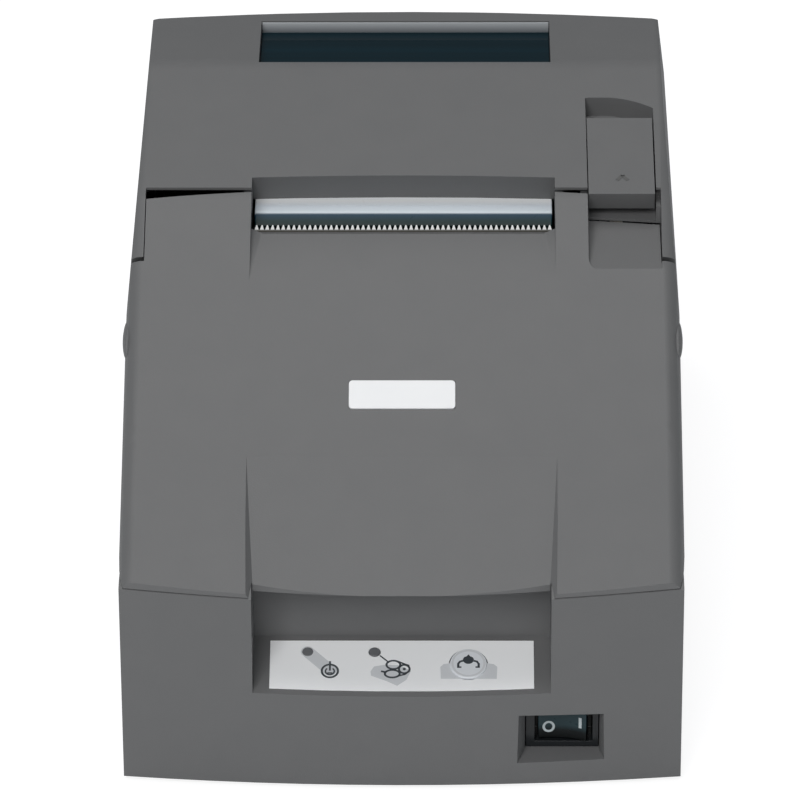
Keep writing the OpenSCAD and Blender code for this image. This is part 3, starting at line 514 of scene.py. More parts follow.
button_satin = moulded_plastic("button_satin", (0.80, 0.83, 0.865), (0.76, 0.79, 0.83), grain=3800,
                               depth=0.05, roughness=0.38)
finish_node("feed_button", button_satin, edge=0.35, segments=3)
print_marks("button_ring", [ring(0, 0, BUTTON_RING, BUTTON_RING, BOLD)], INK_HEIGHT, on_button,
            light_ink, "feed_button")
fingertip = [(0, 3.2), (0.5, 2.5), (1.2, 2.2), (1.55, 1.5), (1.5, 0.7), (1.0, 0.1), (0.4, -0.2),
             (-0.4, -0.2), (-1.0, 0.1), (-1.5, 0.7), (-1.55, 1.5), (-1.2, 2.2), (-0.5, 2.5)]
print_marks("button_symbol", [
    [fingertip],
    line_of([(1.5, 0.9), (2.4, 0.6), (2.9, -0.2), (2.9, -1.5)], ARM_WIDTH),
    line_of([(-1.5, 0.9), (-2.4, 0.6), (-2.9, -0.2), (-2.9, -1.5)], ARM_WIDTH),
    line_of([(-3.2, -1.4), (-2.0, -1.4)], MEDIUM),
    line_of([(3.2, -1.4), (2.0, -1.4)], MEDIUM),
], INK_HEIGHT, on_button, dark_ink, "feed_button")

# ---- Arrow on the opening lever ---------------------------------------------
# The bottom of the shallow arrow in the lever's top, painted a little darker than the
# plastic around it as painted shade in the groove; its floor is also given a rougher finish.
ARROW_TIP = Vector((64, 3.9, 129.831))
ARROW_FLOOR = -0.1
ARROW_WIDTH = 1.15
ROOF_SLOPE = math.radians(8.8)
lever_turn = Matrix.Rotation(ROOF_SLOPE, 3, "X")


def on_lever(u, up, height):
    return (ARROW_TIP + lever_turn @ Vector((u, up, ARROW_FLOOR + height))) * MM


arrow_groove_shade = moulded_plastic("arrow_groove_shade", (0.105, 0.106, 0.105), (0.118, 0.118, 0.117), CASE_GRAIN,
                             depth=0.3, roughness=0.7)
arrow_arms = [line_of([(side * 0.2, 0.3), (side * -0.9, -1.35), (side * -1.5, -2.3)], ARROW_WIDTH)
              for side in (1, -1)]
print_marks("lever_arrow", arrow_arms, INK_HEIGHT, on_lever, arrow_groove_shade, "open_lever")

# ---- Power switch -----------------------------------------------------------
# A snap-in rocker switch in glossy black, set in a tapered well of the case.
# The rocker's face is hollow, with an O and an I printed in white at its ends.
ROCKER_AT = Vector((46, -113, 17.15))
ROCKER_TURN = Matrix.Rotation(math.radians(-7), 3, "Z")
ROCKER_HOLLOW = 22.4
ROCKER_HOLLOW_Y = -24.8
ROCKER_SPAN = (12.5 * MM, 21.8 * MM)
# The rocker is painted black towards its foot as painted shade, and dark teal grey towards its top as a
# painted reflection.
ROCKER_SHADE_AND_REFLECTION = (
    (0.00, (0.001, 0.002, 0.002)),
    (0.28, (0.002, 0.004, 0.005)),
    (0.48, (0.020, 0.042, 0.050)),
    (1.00, (0.026, 0.052, 0.062)),
)


def on_rocker(u, up, height):
    hollow = ROCKER_HOLLOW_Y + math.sqrt(ROCKER_HOLLOW ** 2 - u ** 2)
    return (ROCKER_AT + ROCKER_TURN @ Vector((u, hollow - height, up))) * MM


switch_gloss = moulded_plastic("switch_gloss", (0.010, 0.012, 0.014), (0.014, 0.016, 0.018),
                               grain=1800, depth=0.04, roughness=0.22)
# Painted shade at the rocker's foot, a painted reflection at its top.
rocker_shade_and_reflection = light_and_shade_bands("rocker_shade_and_reflection", "Z", ROCKER_SPAN, ROCKER_SHADE_AND_REFLECTION, roughness=0.3, gloss=0.25)
switch_ink = moulded_plastic("switch_white", (0.56, 0.62, 0.64), (0.50, 0.56, 0.58), grain=4200,
                             depth=0.05, roughness=0.4)
finish_node("power_switch", switch_gloss, edge=0.3)
finish_node("power_rocker", rocker_shade_and_reflection, edge=0.35)
print_marks("rocker_marks", [
    ring(-3.9, -0.9, 1.4, 1.55, 0.7),
    line_of([(5.1, -0.6), (5.1, 1.2), (5.1, 2.9)], 0.85),
], INK_HEIGHT, on_rocker, switch_ink, "power_rocker")

# ---- Rubber feet ------------------------------------------------------------
# Four tapered discs of black rubber, pressed into sockets in the case's floor.
# They leave the mould with a dull, slightly rough skin.
foot_rubber = moulded_plastic("foot_rubber", (0.020, 0.020, 0.021), (0.030, 0.029, 0.028), grain=1500,
                              depth=0.35, roughness=0.82)
finish_node("rubber_feet", foot_rubber, edge=0.3)

# ---- Sockets in the rear wall -----------------------------------------------
# A 25-way socket with a tin plated shell and two brass jackscrews, a modular
# socket for a cash drawer, and a round power inlet. Contacts are gold plated.
DSUB_MIDDLE = (-22, 17)
DSUB_CORNERS = ((-19.8, 3.4), (19.8, 3.4), (18.4, -3.6), (-18.4, -3.6))
DSUB_DEPTH = (114.5, 118.5)
DSUB_PITCH = 2.77
DSUB_ROWS = ((13, 1.42), (12, -1.42))
COLLAR_DEPTH = (118.4, 122.6)
CONTACT_DEPTH = (118.5, 122.3)
CONTACT_COLLAR = 0.92
CONTACT_OUTSIDE = 0.74
CONTACT_BORE = 0.55
CONTACT_GAP = 0.01
DRAWER_WIRES = 6
DRAWER_MIDDLE = 26
DRAWER_PITCH = 1.02
DRAWER_WIRE_RADIUS = 0.2
DRAWER_WIRE_PATH = ((111.5, 20.3), (121.5, 20.3), (113.5, 16.4))
INLET_AT = (50, 16.5)
INLET_STEPS = ((112, 122.7, 1.15), (122.7, 123.1, 0.8))
METAL_BUFFED = 0.1
METAL_DULLED = 0.12
STAIN_SCALE = 120


def worn_metal(name, colour, second, roughness, grain, stretch=(1, 1, 1), depth=0.08):
    """Bare or plated metal: two close tones, and fine tool marks drawn out along the stretch."""
    material, tree = new_material(name)
    place = place_on(tree)
    drawn = add_node(tree, "Mapping", {"Vector": place, "Scale": stretch})
    marks = add_noise(tree, drawn.outputs[0], grain, detail=4)
    tone = mix_colours(tree, add_noise(tree, place, STAIN_SCALE), colour, second)
    rough = add_range(tree, marks, roughness - METAL_BUFFED, roughness + METAL_DULLED)
    close_material(tree, {"Base Color": tone, "Roughness": rough, "Metallic": 1}, marks, depth)
    return material


def add_block(solid, low, high):
    """A box in millimetres, added to a mesh in the making."""
    for vertex in bmesh.ops.create_cube(solid, size=1)["verts"]:
        for axis in range(3):
            vertex.co[axis] = (high[axis] if vertex.co[axis] > 0 else low[axis]) * MM


def join_rings(solid, first, second):
    """Faces between two closed rings of as many points."""
    for k in range(len(first)):
        n = (k + 1) % len(first)
        solid.faces.new((first[k], first[n], second[n], second[k]))


def add_tube(solid, start, end, radius, bore=0.0, sides=16):
    """A round bar between two points in millimetres, or a tube where bore is above 0."""
    start = Vector(start) * MM
    along = Vector(end) * MM - start
    turn = Matrix.Translation(start) @ along.to_track_quat("Z", "Y").to_matrix().to_4x4()
    profile = [(radius * MM, 0), (radius * MM, along.length)]
    if bore > 0:
        profile += [(bore * MM, along.length), (bore * MM, 0)]
    rings = [[solid.verts.new(turn @ Vector((u, v, height))) for u, v in ellipse(0, 0, far, far, sides)]
             for far, height in profile]
    if bore > 0:
        rings.append(rings[0])
    else:
        solid.faces.new(rings[0][::-1])
        solid.faces.new(rings[1])
    for low, high in zip(rings, rings[1:]):
        join_rings(solid, low, high)


def add_plate(solid, outline, low, high, axes):
    """A flat piece: an outline in millimetres on two axes, from low to high on the third."""
    third = 3 - axes[0] - axes[1]
    sheets = []
    for level in (low, high):
        sheet = []
        for first, second in outline:
            point = Vector((0, 0, 0))
            point[axes[0]] = first * MM
            point[axes[1]] = second * MM
            point[third] = level * MM
            sheet.append(solid.verts.new(point))
        sheets.append(sheet)
    solid.faces.new(sheets[0][::-1])
    solid.faces.new(sheets[1])
    join_rings(solid, *sheets)


def close_piece(name, solid, material, body, edge=0.0, smooth=True):
    """Turns a mesh in the making into a piece, with its faces outward and its edges rounded."""
    bmesh.ops.recalc_face_normals(solid, faces=solid.faces)
    mesh = bpy.data.meshes.new(name)
    solid.to_mesh(mesh)
    solid.free()
    piece = add_piece(name, mesh, material, body, smooth)
    if edge > 0:
        bevel = piece.modifiers.new("edge_radius", "BEVEL")
        bevel.width = edge * MM
        bevel.segments = 2
        bevel.limit_method = "ANGLE"
        bevel.harden_normals = True
    elif smooth:
        mesh.set_sharp_from_angle(angle=math.radians(35))
    return piece


tin_plate = worn_metal("tin_plate", (0.62, 0.62, 0.61), (0.52, 0.52, 0.51), roughness=0.34, grain=900)
turned_brass = worn_metal("turned_brass", (0.66, 0.50, 0.24), (0.55, 0.40, 0.19), roughness=0.32,
                          grain=1400)
gold_contact = worn_metal("gold_contact", (0.83, 0.62, 0.26), (0.72, 0.52, 0.22), roughness=0.24,
                          grain=1800)
socket_black = moulded_plastic("socket_black", (0.018, 0.018, 0.019), (0.026, 0.026, 0.027),
                               grain=2600, depth=0.15, roughness=0.45)
finish_node("dsub_socket", tin_plate, edge=0.3)
finish_node("jackscrews", turned_brass, edge=0.25)
finish_node("drawer_jack", socket_black, edge=0.3)
finish_node("power_jack", socket_black, edge=0.3)

insulator = bmesh.new()
dsub_face = [(DSUB_MIDDLE[0] + u, DSUB_MIDDLE[1] + up) for u, up in DSUB_CORNERS]
add_plate(insulator, dsub_face, *DSUB_DEPTH, (0, 2))
contacts = bmesh.new()
for count, rise in DSUB_ROWS:
    for k in range(count):
        across = DSUB_MIDDLE[0] + (k - (count - 1) / 2) * DSUB_PITCH
        height = DSUB_MIDDLE[1] + rise
        collar = [(across, depth, height) for depth in COLLAR_DEPTH]
        sleeve = [(across, depth, height) for depth in CONTACT_DEPTH]
        add_tube(insulator, *collar, CONTACT_COLLAR, CONTACT_OUTSIDE + CONTACT_GAP, sides=12)
        add_tube(contacts, *sleeve, CONTACT_OUTSIDE, CONTACT_BORE, sides=12)
close_piece("dsub_insulator", insulator, socket_black, "chassis")
close_piece("dsub_contacts", contacts, gold_contact, "chassis")

spring_wires = bmesh.new()
for k in range(DRAWER_WIRES):
    across = DRAWER_MIDDLE + (k - (DRAWER_WIRES - 1) / 2) * DRAWER_PITCH
    for start, end in zip(DRAWER_WIRE_PATH, DRAWER_WIRE_PATH[1:]):
        add_tube(spring_wires, (across, *start), (across, *end), DRAWER_WIRE_RADIUS, sides=8)
close_piece("drawer_contacts", spring_wires, gold_contact, "chassis")

inlet_pin = bmesh.new()
for start, end, radius in INLET_STEPS:
    add_tube(inlet_pin, (INLET_AT[0], start, INLET_AT[1]), (INLET_AT[0], end, INLET_AT[1]), radius,
             sides=20)
close_piece("power_contact", inlet_pin, tin_plate, "chassis")

# ---- Circuit boards ---------------------------------------------------------
# Fibre boards in green solder resist: the main board under the deck, the
# interface board behind it and the panel board. Parts are soldered on top.
BOARD_TOP = 9.6
CHIPS = ((-30, -60, 18, 18), (5, -60, 18, 18), (-30, -30, 18, 18), (5, -30, 18, 18),
         (-46, 95, 14, 9), (0, 94, 20, 7))
CHIP_INSET = 1.2
CHIP_RISE = (0.2, 2.2)
LEG_MARGIN = 2
LEG_PITCH = 1.27
LEG_WIDTH = 0.5
LEG_REACH = 0.2
LEG_LENGTH = 1.5
LEG_HEIGHT = 0.9
CAPACITORS = ((30, -62), (36, -62), (42, -62), (-46, 104), (10, 108))
CAN_STEPS = ((2.6, 0.6, 9.5), (2.9, 0.0, 0.7))
RESISTORS = 28
RESISTORS_IN_ROW = 14
RESISTORS_FROM = (-44, -8)
RESISTOR_PITCH = (6.2, 4.5)
RESISTOR_STRAY = (1, 0.6)
RESISTOR_SIZE = (2, 1.2, 0.6)
DRAW_SEED = 11
TRACK_SCALE = 180
TRACK_WIDTH = 0.06
TRACK_RISE = 0.15
RESIST_ROUGHNESS = (0.22, 0.42)
RESIST_SPECKS = 900
FINE_BUMP = 0.0001


def solder_resist():
    """Green resist over copper tracks: a grid of straight runs, a little raised and lighter."""
    material, tree = new_material("solder_resist")
    place = place_on(tree)
    tracks = add_node(tree, "TexBrick", {
        "Vector": place,
        "Scale": TRACK_SCALE,
        "Mortar Size": TRACK_WIDTH,
        "Color1": (0.010, 0.085, 0.035),
        "Color2": (0.014, 0.110, 0.045),
        "Mortar": (0.035, 0.200, 0.090),
    })
    rough = add_range(tree, add_noise(tree, place, RESIST_SPECKS), *RESIST_ROUGHNESS)
    close_material(tree, {"Base Color": tracks.outputs["Color"], "Roughness": rough},
                   tracks.outputs["Fac"], TRACK_RISE, FINE_BUMP)
    return material


board_green = solder_resist()
screw_zinc = worn_metal("screw_zinc", (0.60, 0.60, 0.58), (0.48, 0.48, 0.47), roughness=0.32, grain=1500)
chip_black = moulded_plastic("chip_black", (0.022, 0.022, 0.024), (0.030, 0.030, 0.032), grain=3000,
                             depth=0.2, roughness=0.55)
for board in ("main_board", "interface_board", "panel_board"):
    finish_node(board, board_green)
finish_node("board_screws", screw_zinc, edge=0.3)

chips = bmesh.new()
legs = bmesh.new()
for west, south, width, depth in CHIPS:
    east = west + width
    north = south + depth
    add_block(chips, (west + CHIP_INSET, south + CHIP_INSET, BOARD_TOP + CHIP_RISE[0]),
              (east - CHIP_INSET, north - CHIP_INSET, BOARD_TOP + CHIP_RISE[1]))
    for k in range(int((width - 2 * LEG_MARGIN) / LEG_PITCH)):
        across = west + LEG_MARGIN + k * LEG_PITCH
        for along in (south - LEG_REACH, north + LEG_REACH - LEG_LENGTH):
            add_block(legs, (across, along, BOARD_TOP),
                      (across + LEG_WIDTH, along + LEG_LENGTH, BOARD_TOP + LEG_HEIGHT))
close_piece("board_chips", chips, chip_black, "chassis", edge=0.3)
close_piece("chip_legs", legs, tin_plate, "chassis")

cans = bmesh.new()
for across, along in CAPACITORS:
    for radius, low, high in CAN_STEPS:
        add_tube(cans, (across, along, BOARD_TOP + low), (across, along, BOARD_TOP + high), radius,
                 sides=24)
close_piece("board_capacitors", cans, tin_plate, "chassis", edge=0.25)

draw = random.Random(DRAW_SEED)
resistors = bmesh.new()
for k in range(RESISTORS):
    row, column = divmod(k, RESISTORS_IN_ROW)
    across = RESISTORS_FROM[0] + column * RESISTOR_PITCH[0]
    across += draw.uniform(-RESISTOR_STRAY[0], RESISTOR_STRAY[0])
    along = RESISTORS_FROM[1] - row * RESISTOR_PITCH[1]
    along += draw.uniform(-RESISTOR_STRAY[1], RESISTOR_STRAY[1])
    add_block(resistors, (across, along, BOARD_TOP),
              (across + RESISTOR_SIZE[0], along + RESISTOR_SIZE[1], BOARD_TOP + RESISTOR_SIZE[2]))
close_piece("board_resistors", resistors, chip_black, "chassis")

# ---- Paper roll bucket and near-end lever -----------------------------------
# A black moulded trough holds the paper roll. A pale acetal lever on a steel
# pin leans on the roll's side and senses when it has run down.
ROLL_MIDDLE = (56, 60)
BUCKET_ARC = (200, 340)
BUCKET_RADIUS = 43.9
RIB_TOP_RADIUS = 43.2415
RIB_POINTS = 24
RIBS_AT = (-30, -10, 10, 30)
RIB_THICKNESS = 1.4
bucket_black = moulded_plastic("bucket_black", (0.024, 0.025, 0.026), (0.034, 0.035, 0.036),
                               grain=1900, depth=0.3, roughness=0.5)
natural_acetal = moulded_plastic("natural_acetal", (0.74, 0.71, 0.62), (0.68, 0.65, 0.56),
                                 grain=1600, depth=0.08, roughness=0.36)
ground_steel = worn_metal("ground_steel", (0.60, 0.60, 0.61), (0.52, 0.52, 0.54), roughness=0.2,
                          grain=260, stretch=(12, 90, 90), depth=0.04)
finish_node("paper_bucket", bucket_black, edge=0.5)
finish_node("near_end_lever", natural_acetal, edge=0.3)
finish_node("near_end_pin", ground_steel)

bucket_ribs = bmesh.new()
rib_foot = arc(*ROLL_MIDDLE, BUCKET_RADIUS, *BUCKET_ARC, RIB_POINTS)
rib_top = arc(*ROLL_MIDDLE, RIB_TOP_RADIUS, *BUCKET_ARC, RIB_POINTS)
for across in RIBS_AT:
    add_plate(bucket_ribs, rib_foot + rib_top[::-1], across - RIB_THICKNESS / 2,
              across + RIB_THICKNESS / 2, (1, 2))
close_piece("bucket_ribs", bucket_ribs, bucket_black, "chassis")

# ---- Deck, side frames and screws -------------------------------------------
# Folded zinc plated sheet carries the printing mechanism. Pan head screws with
# a cross recess hold the deck on posts of the case.
DECK_SCREWS = ((-50, -80), (50, -80), (-50, -2), (24, -2))
DECK_SCREW_TOP = 37.4
DECK_CROSS = 1.5
BOARD_SCREWS = ((-52, 94), (52, 94), (-52, 114), (38.8, 114))
BOARD_SCREW_TOP = 10.8
BOARD_CROSS = 1.1
CROSS_ARM = 0.28
CROSS_RECESS = 0.06
CROSS_PROUD = 0.02
zinc_sheet = worn_metal("zinc_sheet", (0.56, 0.57, 0.57), (0.47, 0.48, 0.49), roughness=0.36,
                        grain=420, stretch=(1, 14, 14))
# A thin dark cross of painted shade on each screw head stands for the hollow of its cross recess.
cross_recess_shade = worn_metal("cross_recess_shade", (0.05, 0.05, 0.05), (0.08, 0.08, 0.08), roughness=0.6,
                         grain=1500)
for sheet_part in ("base_deck", "left_frame", "right_frame", "cassette_rests"):
    finish_node(sheet_part, zinc_sheet, edge=0.25)
finish_node("deck_screws", screw_zinc, edge=0.4)
finish_node("latch_stud", ground_steel, edge=0.15)
finish_node("idler_stud", ground_steel, edge=0.15)

recesses = bmesh.new()
for places, top, reach in ((DECK_SCREWS, DECK_SCREW_TOP, DECK_CROSS),
                           (BOARD_SCREWS, BOARD_SCREW_TOP, BOARD_CROSS)):
    cross = [(-CROSS_ARM, -reach), (CROSS_ARM, -reach), (CROSS_ARM, -CROSS_ARM)]
    for quarter in range(3):
        cross += [(-v, u) for u, v in cross[-3:]]
    for across, along in places:
        add_plate(recesses, [(across + u, along + v) for u, v in cross], top - CROSS_RECESS,
                  top + CROSS_PROUD, (0, 1))
close_piece("screw_recesses", recesses, cross_recess_shade, "chassis", smooth=False)

# ---- Platen, carriage shaft and guide rail ----------------------------------
# The ribbon is struck against a flat black platen. The carriage runs on a
# ground shaft and is kept upright by a thin rail above it.
platen_rubber = moulded_plastic("platen_rubber", (0.022, 0.022, 0.024), (0.032, 0.032, 0.033),
                                grain=2400, depth=0.2, roughness=0.65)
finish_node("platen", platen_rubber, edge=0.3)
finish_node("carriage_shaft", ground_steel, edge=0.3)
finish_node("guide_rail", ground_steel, edge=0.2)

# ---- Carriage and print head ------------------------------------------------
# A black glass-filled carriage clamps the belt and carries the print head, a
# round die-cast coil housing with fins and a nose that guides the needles.
NEEDLES = 9
NEEDLE_PITCH = 0.7
NEEDLE_LOW = 77.2
NEEDLE_RADIUS = 0.16
NEEDLE_DEPTH = (-10.75, -10.5)
HEAD_SCREWS = (-6.6, 6.6)
HEAD_SCREW_HEIGHT = 80
HEAD_SCREW_RADIUS = 1.1
HEAD_SCREW_DEPTH = (-22.6, -21.6)
carriage_black = moulded_plastic("carriage_black", (0.020, 0.020, 0.022), (0.034, 0.034, 0.035),
                                 grain=1300, depth=0.3, roughness=0.5)
head_alloy = worn_metal("head_alloy", (0.23, 0.235, 0.24), (0.17, 0.175, 0.18), roughness=0.42,
                        grain=700, depth=0.2)
finish_node("carriage", carriage_black, edge=0.4)
finish_node("print_head", head_alloy, edge=0.25)

head_metal = bmesh.new()
for k in range(NEEDLES):
    height = NEEDLE_LOW + k * NEEDLE_PITCH
    add_tube(head_metal, *[(0, depth, height) for depth in NEEDLE_DEPTH], NEEDLE_RADIUS, sides=8)
for across in HEAD_SCREWS:
    add_tube(head_metal, *[(across, depth, HEAD_SCREW_HEIGHT) for depth in HEAD_SCREW_DEPTH],
             HEAD_SCREW_RADIUS)
close_piece("head_needles", head_metal, tin_plate, "carriage")

# ---- Flat cable of the print head -------------------------------------------
# A white film with dark conductors along it lies in an arch from its socket on
# the deck to a clamp on the carriage, long enough for the whole travel.
CABLE_WIDTH = 13
CABLE_THICK = 0.25
CABLE_PATH = ((-78, 35.9), (-74, 36.2), (-66, 37.4), (-59, 41), (-54.5, 47), (-51, 54),
              (-47.5, 59.5), (-43.5, 62), (-39.5, 62.2), (-35.2, 61))
CABLE_CORNERS = ((-1, -1), (1, -1), (1, 1), (-1, 1))
CONDUCTOR_SCALE = 260
CABLE_SOCKET = (((-8.2, -82, 35.5), (8.2, -77, 38.4)), ((-7.4, -82.6, 37.4), (7.4, -81.6, 39.2)))
CABLE_CLAMP = (((-8, -36.4, 58.4), (8, -35, 63.4)), ((-7.2, -37, 59.4), (7.2, -36.3, 62.4)))


def flat_cable():
    material, tree = new_material("flat_cable_film")
    lines = add_node(tree, "TexWave", {"Vector": place_on(tree), "Scale": CONDUCTOR_SCALE,
                                       "Distortion": 0})
    lines.bands_direction = "X"
    stripes = lines.outputs["Fac"]
    tone = mix_colours(tree, stripes, (0.66, 0.67, 0.68), (0.30, 0.31, 0.33))
    close_material(tree, {"Base Color": tone, "Roughness": 0.35}, stripes, strength=0.3,
                   distance=FINE_BUMP)
    return material


def smooth_path(points, steps):
    """A Catmull-Rom line through the points, with steps short pieces between each two."""
    line = []
    ends = [points[0], *points, points[-1]]
    for around in zip(ends, ends[1:], ends[2:], ends[3:]):
        for k in range(steps):
            t = k / steps
            line.append(tuple(
                0.5 * (2 * q + (r - p) * t + (2 * p - 5 * q + 4 * r - s) * t ** 2
                       + (3 * q - p - 3 * r + s) * t ** 3)
                for p, q, r, s in zip(*around)))
    return line + [points[-1]]


def add_moulding(name, blocks, material, body, edge):
    """A small moulding of two or three blocks, each given by its low and high corner."""
    solid = bmesh.new()
    for low, high in blocks:
        add_block(solid, low, high)
    close_piece(name, solid, material, body, edge)


cable_line = smooth_path(CABLE_PATH, 4)
cable = bmesh.new()
cable_rows = []
for k, (along, height) in enumerate(cable_line):
    back, lift = to_edge(cable_line, k, CABLE_THICK)
    cable_rows.append([
        cable.verts.new(Vector((side * CABLE_WIDTH / 2, along + face * back, height + face * lift)) * MM)
        for side, face in CABLE_CORNERS])
cable.faces.new(cable_rows[0])
cable.faces.new(cable_rows[-1][::-1])
for low, high in zip(cable_rows, cable_rows[1:]):
    join_rings(cable, low, high)
head_cable = close_piece("head_cable", cable, flat_cable(), None)
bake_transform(head_cable)
add_moulding("head_cable_socket", CABLE_SOCKET, socket_black, "chassis", edge=0.3)
add_moulding("head_cable_clamp", CABLE_CLAMP, socket_black, "carriage", edge=0.25)

# ---- Carriage drive ---------------------------------------------------------
# A stepper motor under the deck turns a toothed pulley; a moulded rubber belt
# with 2 mm teeth runs to an idle pulley on a steel post.
PULLEY_Y = -30
BELT_INSIDE = 5.3
BELT_HEIGHTS = (48.6, 51.4)
BELT_TEETH = 44
BELT_TOOTH_PITCH = 2.0
BELT_TOOTH_FROM = -43
BELT_TOOTH_FOOT = 1.0
BELT_TOOTH_TIP = 0.6
BELT_TOOTH_HEIGHT = 0.6
CLAMP_HALF = 9
belt_rubber = moulded_plastic("belt_rubber", (0.016, 0.016, 0.017), (0.025, 0.025, 0.026),
                              grain=2600, depth=0.3, roughness=0.7)
motor_can = worn_metal("motor_can", (0.40, 0.40, 0.41), (0.33, 0.33, 0.34), roughness=0.34,
                       grain=300, stretch=(3, 3, 30))
finish_node("drive_belt", belt_rubber)
finish_node("drive_pulley", natural_acetal, edge=0.15)
finish_node("idle_pulley", natural_acetal, edge=0.15)
finish_node("pulley_post", ground_steel)
finish_node("carriage_motor", motor_can, edge=0.5, segments=3)

belt_teeth = bmesh.new()
for side in (-1, 1):
    foot = PULLEY_Y + side * BELT_INSIDE
    tip = foot - side * BELT_TOOTH_HEIGHT
    for k in range(BELT_TEETH):
        across = BELT_TOOTH_FROM + k * BELT_TOOTH_PITCH
        if side > 0 and abs(across) < CLAMP_HALF:
            continue
        tooth = [(across - BELT_TOOTH_FOOT / 2, foot), (across + BELT_TOOTH_FOOT / 2, foot),
                 (across + BELT_TOOTH_TIP / 2, tip), (across - BELT_TOOTH_TIP / 2, tip)]
        add_plate(belt_teeth, tooth, *BELT_HEIGHTS, (0, 1))
close_piece("belt_teeth", belt_teeth, belt_rubber, "chassis")

# ---- Paper feed -------------------------------------------------------------
# A second stepper drives the feed roller through a pinion and an idler gear of
# acetal. Small pinch rollers press the paper on the rubber sleeves.
WIRE_COLOURS = ((0.55, 0.03, 0.02), (0.60, 0.42, 0.03), (0.03, 0.08, 0.35), (0.60, 0.60, 0.58))
WIRE_SHADE = 0.85
WIRE_RADIUS = 0.55
WIRE_FROM = -8.4
WIRE_PITCH = 1.5
WIRE_PATH = ((32.6, 46), (29, 46.2), (26.5, 44), (25.6, 40.5), (25.4, 36.6))
WIRE_SOCKET = (((22.6, -9.6, 35.5), (27.4, -2.6, 38.6)), ((22.0, -8.8, 35.5), (22.7, -3.4, 37.6)))
feed_rubber = moulded_plastic("feed_rubber", (0.024, 0.024, 0.026), (0.036, 0.036, 0.037),
                              grain=3200, depth=0.4, roughness=0.75)
finish_node("feed_motor", motor_can, edge=0.5, segments=3)
for gear in ("motor_pinion", "idler_gear", "feed_gear"):
    finish_node(gear, natural_acetal)
finish_node("feed_roller", feed_rubber, edge=0.25)
finish_node("pinch_rollers", feed_rubber, edge=0.25)

wire_line = smooth_path(WIRE_PATH, 4)
for number, colour in enumerate(WIRE_COLOURS):
    shaded = tuple(part * WIRE_SHADE for part in colour)
    insulation = moulded_plastic("wire_insulation_%d" % number, colour, shaded, grain=900, depth=0.05,
                                 roughness=0.42)
    wire = bmesh.new()
    along = WIRE_FROM + number * WIRE_PITCH
    for (x0, z0), (x1, z1) in zip(wire_line, wire_line[1:]):
        add_tube(wire, (x0, along, z0), (x1, along, z1), WIRE_RADIUS, sides=10)
    close_piece("motor_wire_%d" % number, wire, insulation, "chassis")
add_moulding("motor_wire_socket", WIRE_SOCKET, natural_acetal, "chassis", edge=0.3)

# ---- Ribbon cassette --------------------------------------------------------
# A black snap-together box with two arms holds the inked ribbon. Grip ribs are
# moulded in its lid, and a white arrow shows which way the knob winds.
KNOB_AT = (36, -56)
LID_OUTLINE = [(-49, -70), (-47, -72), (24, -72), (26, -70), (26, -46), (24, -40), (-47, -40),
               (-49, -42)]
LID_HEIGHTS = (87.0, 87.5)
GRIP_RIBS = 6
GRIP_FROM = -46
GRIP_PITCH = 2.6
GRIP_WIDTH = 1.2
GRIP_REACH = (-66, -46)
GRIP_TOP = 88.2
TABS_AT = (-74.3, -38.2)
TAB_THICKNESS = 0.5
TAB_SPANS = ((-30, -22), (8, 16))
TAB_HEIGHTS = (78, 85)
ARROW_HEIGHT = 87.02
ARROW_RADIUS = 9.8
WEAVE_SCALE = 700
cassette_black = moulded_plastic("cassette_black", (0.018, 0.018, 0.020), (0.028, 0.028, 0.030),
                                 grain=2200, depth=0.25, roughness=0.42)
finish_node("ribbon_cassette", cassette_black, edge=0.6, segments=3)

lid = bmesh.new()
add_plate(lid, LID_OUTLINE, *LID_HEIGHTS, (0, 1))
for k in range(GRIP_RIBS):
    across = GRIP_FROM + k * GRIP_PITCH
    add_block(lid, (across, GRIP_REACH[0], LID_HEIGHTS[1]),
              (across + GRIP_WIDTH, GRIP_REACH[1], GRIP_TOP))
for along in TABS_AT:
    for west, east in TAB_SPANS:
        add_block(lid, (west, along, TAB_HEIGHTS[0]), (east, along + TAB_THICKNESS, TAB_HEIGHTS[1]))
close_piece("cassette_lid", lid, cassette_black, "chassis", edge=0.25)


def on_cassette(u, up, height):
    return Vector((KNOB_AT[0] + u, KNOB_AT[1] + up, ARROW_HEIGHT + height)) * MM


winding_arrow = line_of(arc(0, 0, ARROW_RADIUS, 215, 305), 0.9)
winding_tip = [[(7.6, -8.0), (4.0, -9.4), (6.6, -6.0)]]
print_marks("winding_arrow", [winding_arrow, winding_tip], INK_HEIGHT, on_cassette, switch_ink,
            "chassis")


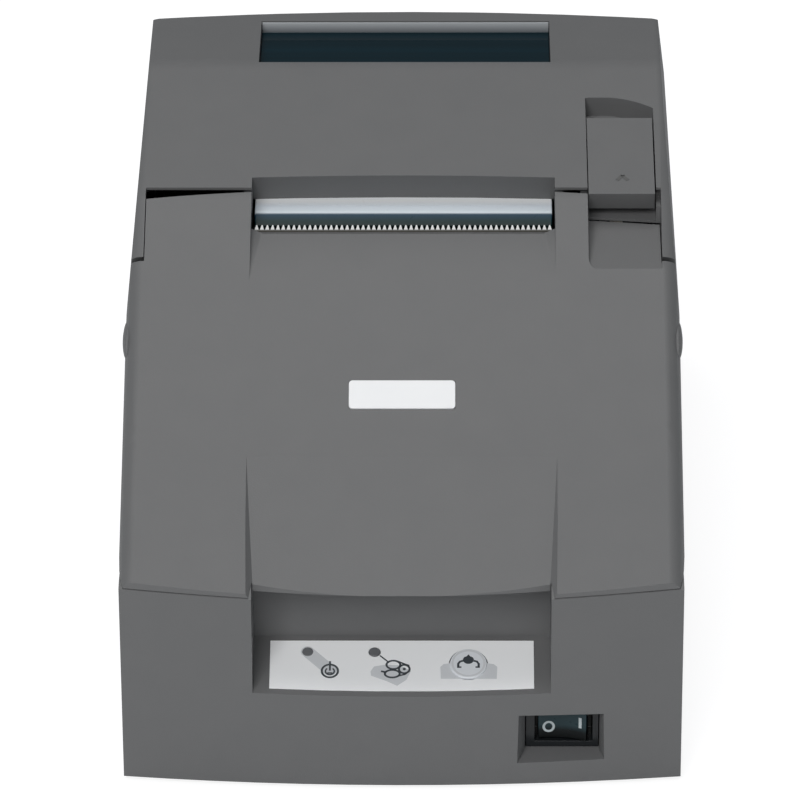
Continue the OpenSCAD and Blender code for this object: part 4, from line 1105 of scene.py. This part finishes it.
def woven_ribbon():
    """Inked nylon: a fine plain weave, nearly black with a violet cast."""
    material, tree = new_material("woven_ribbon")
    place = place_on(tree)
    threads = []
    for direction in ("X", "Z"):
        thread = add_node(tree, "TexWave", {"Vector": place, "Scale": WEAVE_SCALE, "Distortion": 0.4})
        thread.bands_direction = direction
        threads.append(thread.outputs["Fac"])
    weave = add_node(tree, "Math", {0: threads[0], 1: threads[1]})
    weave.operation = "MULTIPLY"
    crossed = weave.outputs[0]
    tone = mix_colours(tree, crossed, (0.014, 0.008, 0.026), (0.040, 0.022, 0.070))
    close_material(tree, {"Base Color": tone, "Roughness": 0.6, "Sheen Weight": 0.2}, crossed,
                   strength=0.5, distance=FINE_BUMP)
    return material


finish_node("ink_ribbon", woven_ribbon())

# ---- Ribbon knob ------------------------------------------------------------
# The moulded grey knob turns in a brass bearing, and its spindle drives the
# ribbon. A raised bar across its middle gives the thumb a grip.
KNOB_BASE = 90.4
GRIP_BAR = (9.2, 1.6, 0.8)
GRIP_BOSS_RADIUS = 2.4
GRIP_BOSS_TOP = 90.9
knob_grey = moulded_plastic("knob_grey", (0.36, 0.37, 0.38), (0.31, 0.32, 0.33), grain=2200,
                            depth=0.15, roughness=0.42)
finish_node("ribbon_knob", knob_grey, edge=0.3)
finish_node("ribbon_bearing", turned_brass, edge=0.2)

knob_grip = bmesh.new()
add_block(knob_grip, (KNOB_AT[0] - GRIP_BAR[0] / 2, KNOB_AT[1] - GRIP_BAR[1] / 2, KNOB_BASE),
          (KNOB_AT[0] + GRIP_BAR[0] / 2, KNOB_AT[1] + GRIP_BAR[1] / 2, KNOB_BASE + GRIP_BAR[2]))
add_tube(knob_grip, (*KNOB_AT, KNOB_BASE), (*KNOB_AT, GRIP_BOSS_TOP), GRIP_BOSS_RADIUS, sides=24)
close_piece("knob_grip", knob_grip, knob_grey, "ribbon_knob", edge=0.2)

# ---- Hinge pins and rods ----------------------------------------------------
# Ground steel: two short pins for the front cover, one long rod for the roll
# cover. The thin rod on which the opening lever turns is blackened.
blackened_steel = worn_metal("blackened_steel", (0.020, 0.021, 0.023), (0.032, 0.033, 0.035),
                             roughness=0.45, grain=900)
finish_node("front_hinge_pins", ground_steel, edge=0.15)
finish_node("hinge_rod", ground_steel, edge=0.15)
finish_node("lever_pin_rod", blackened_steel, edge=0.15)
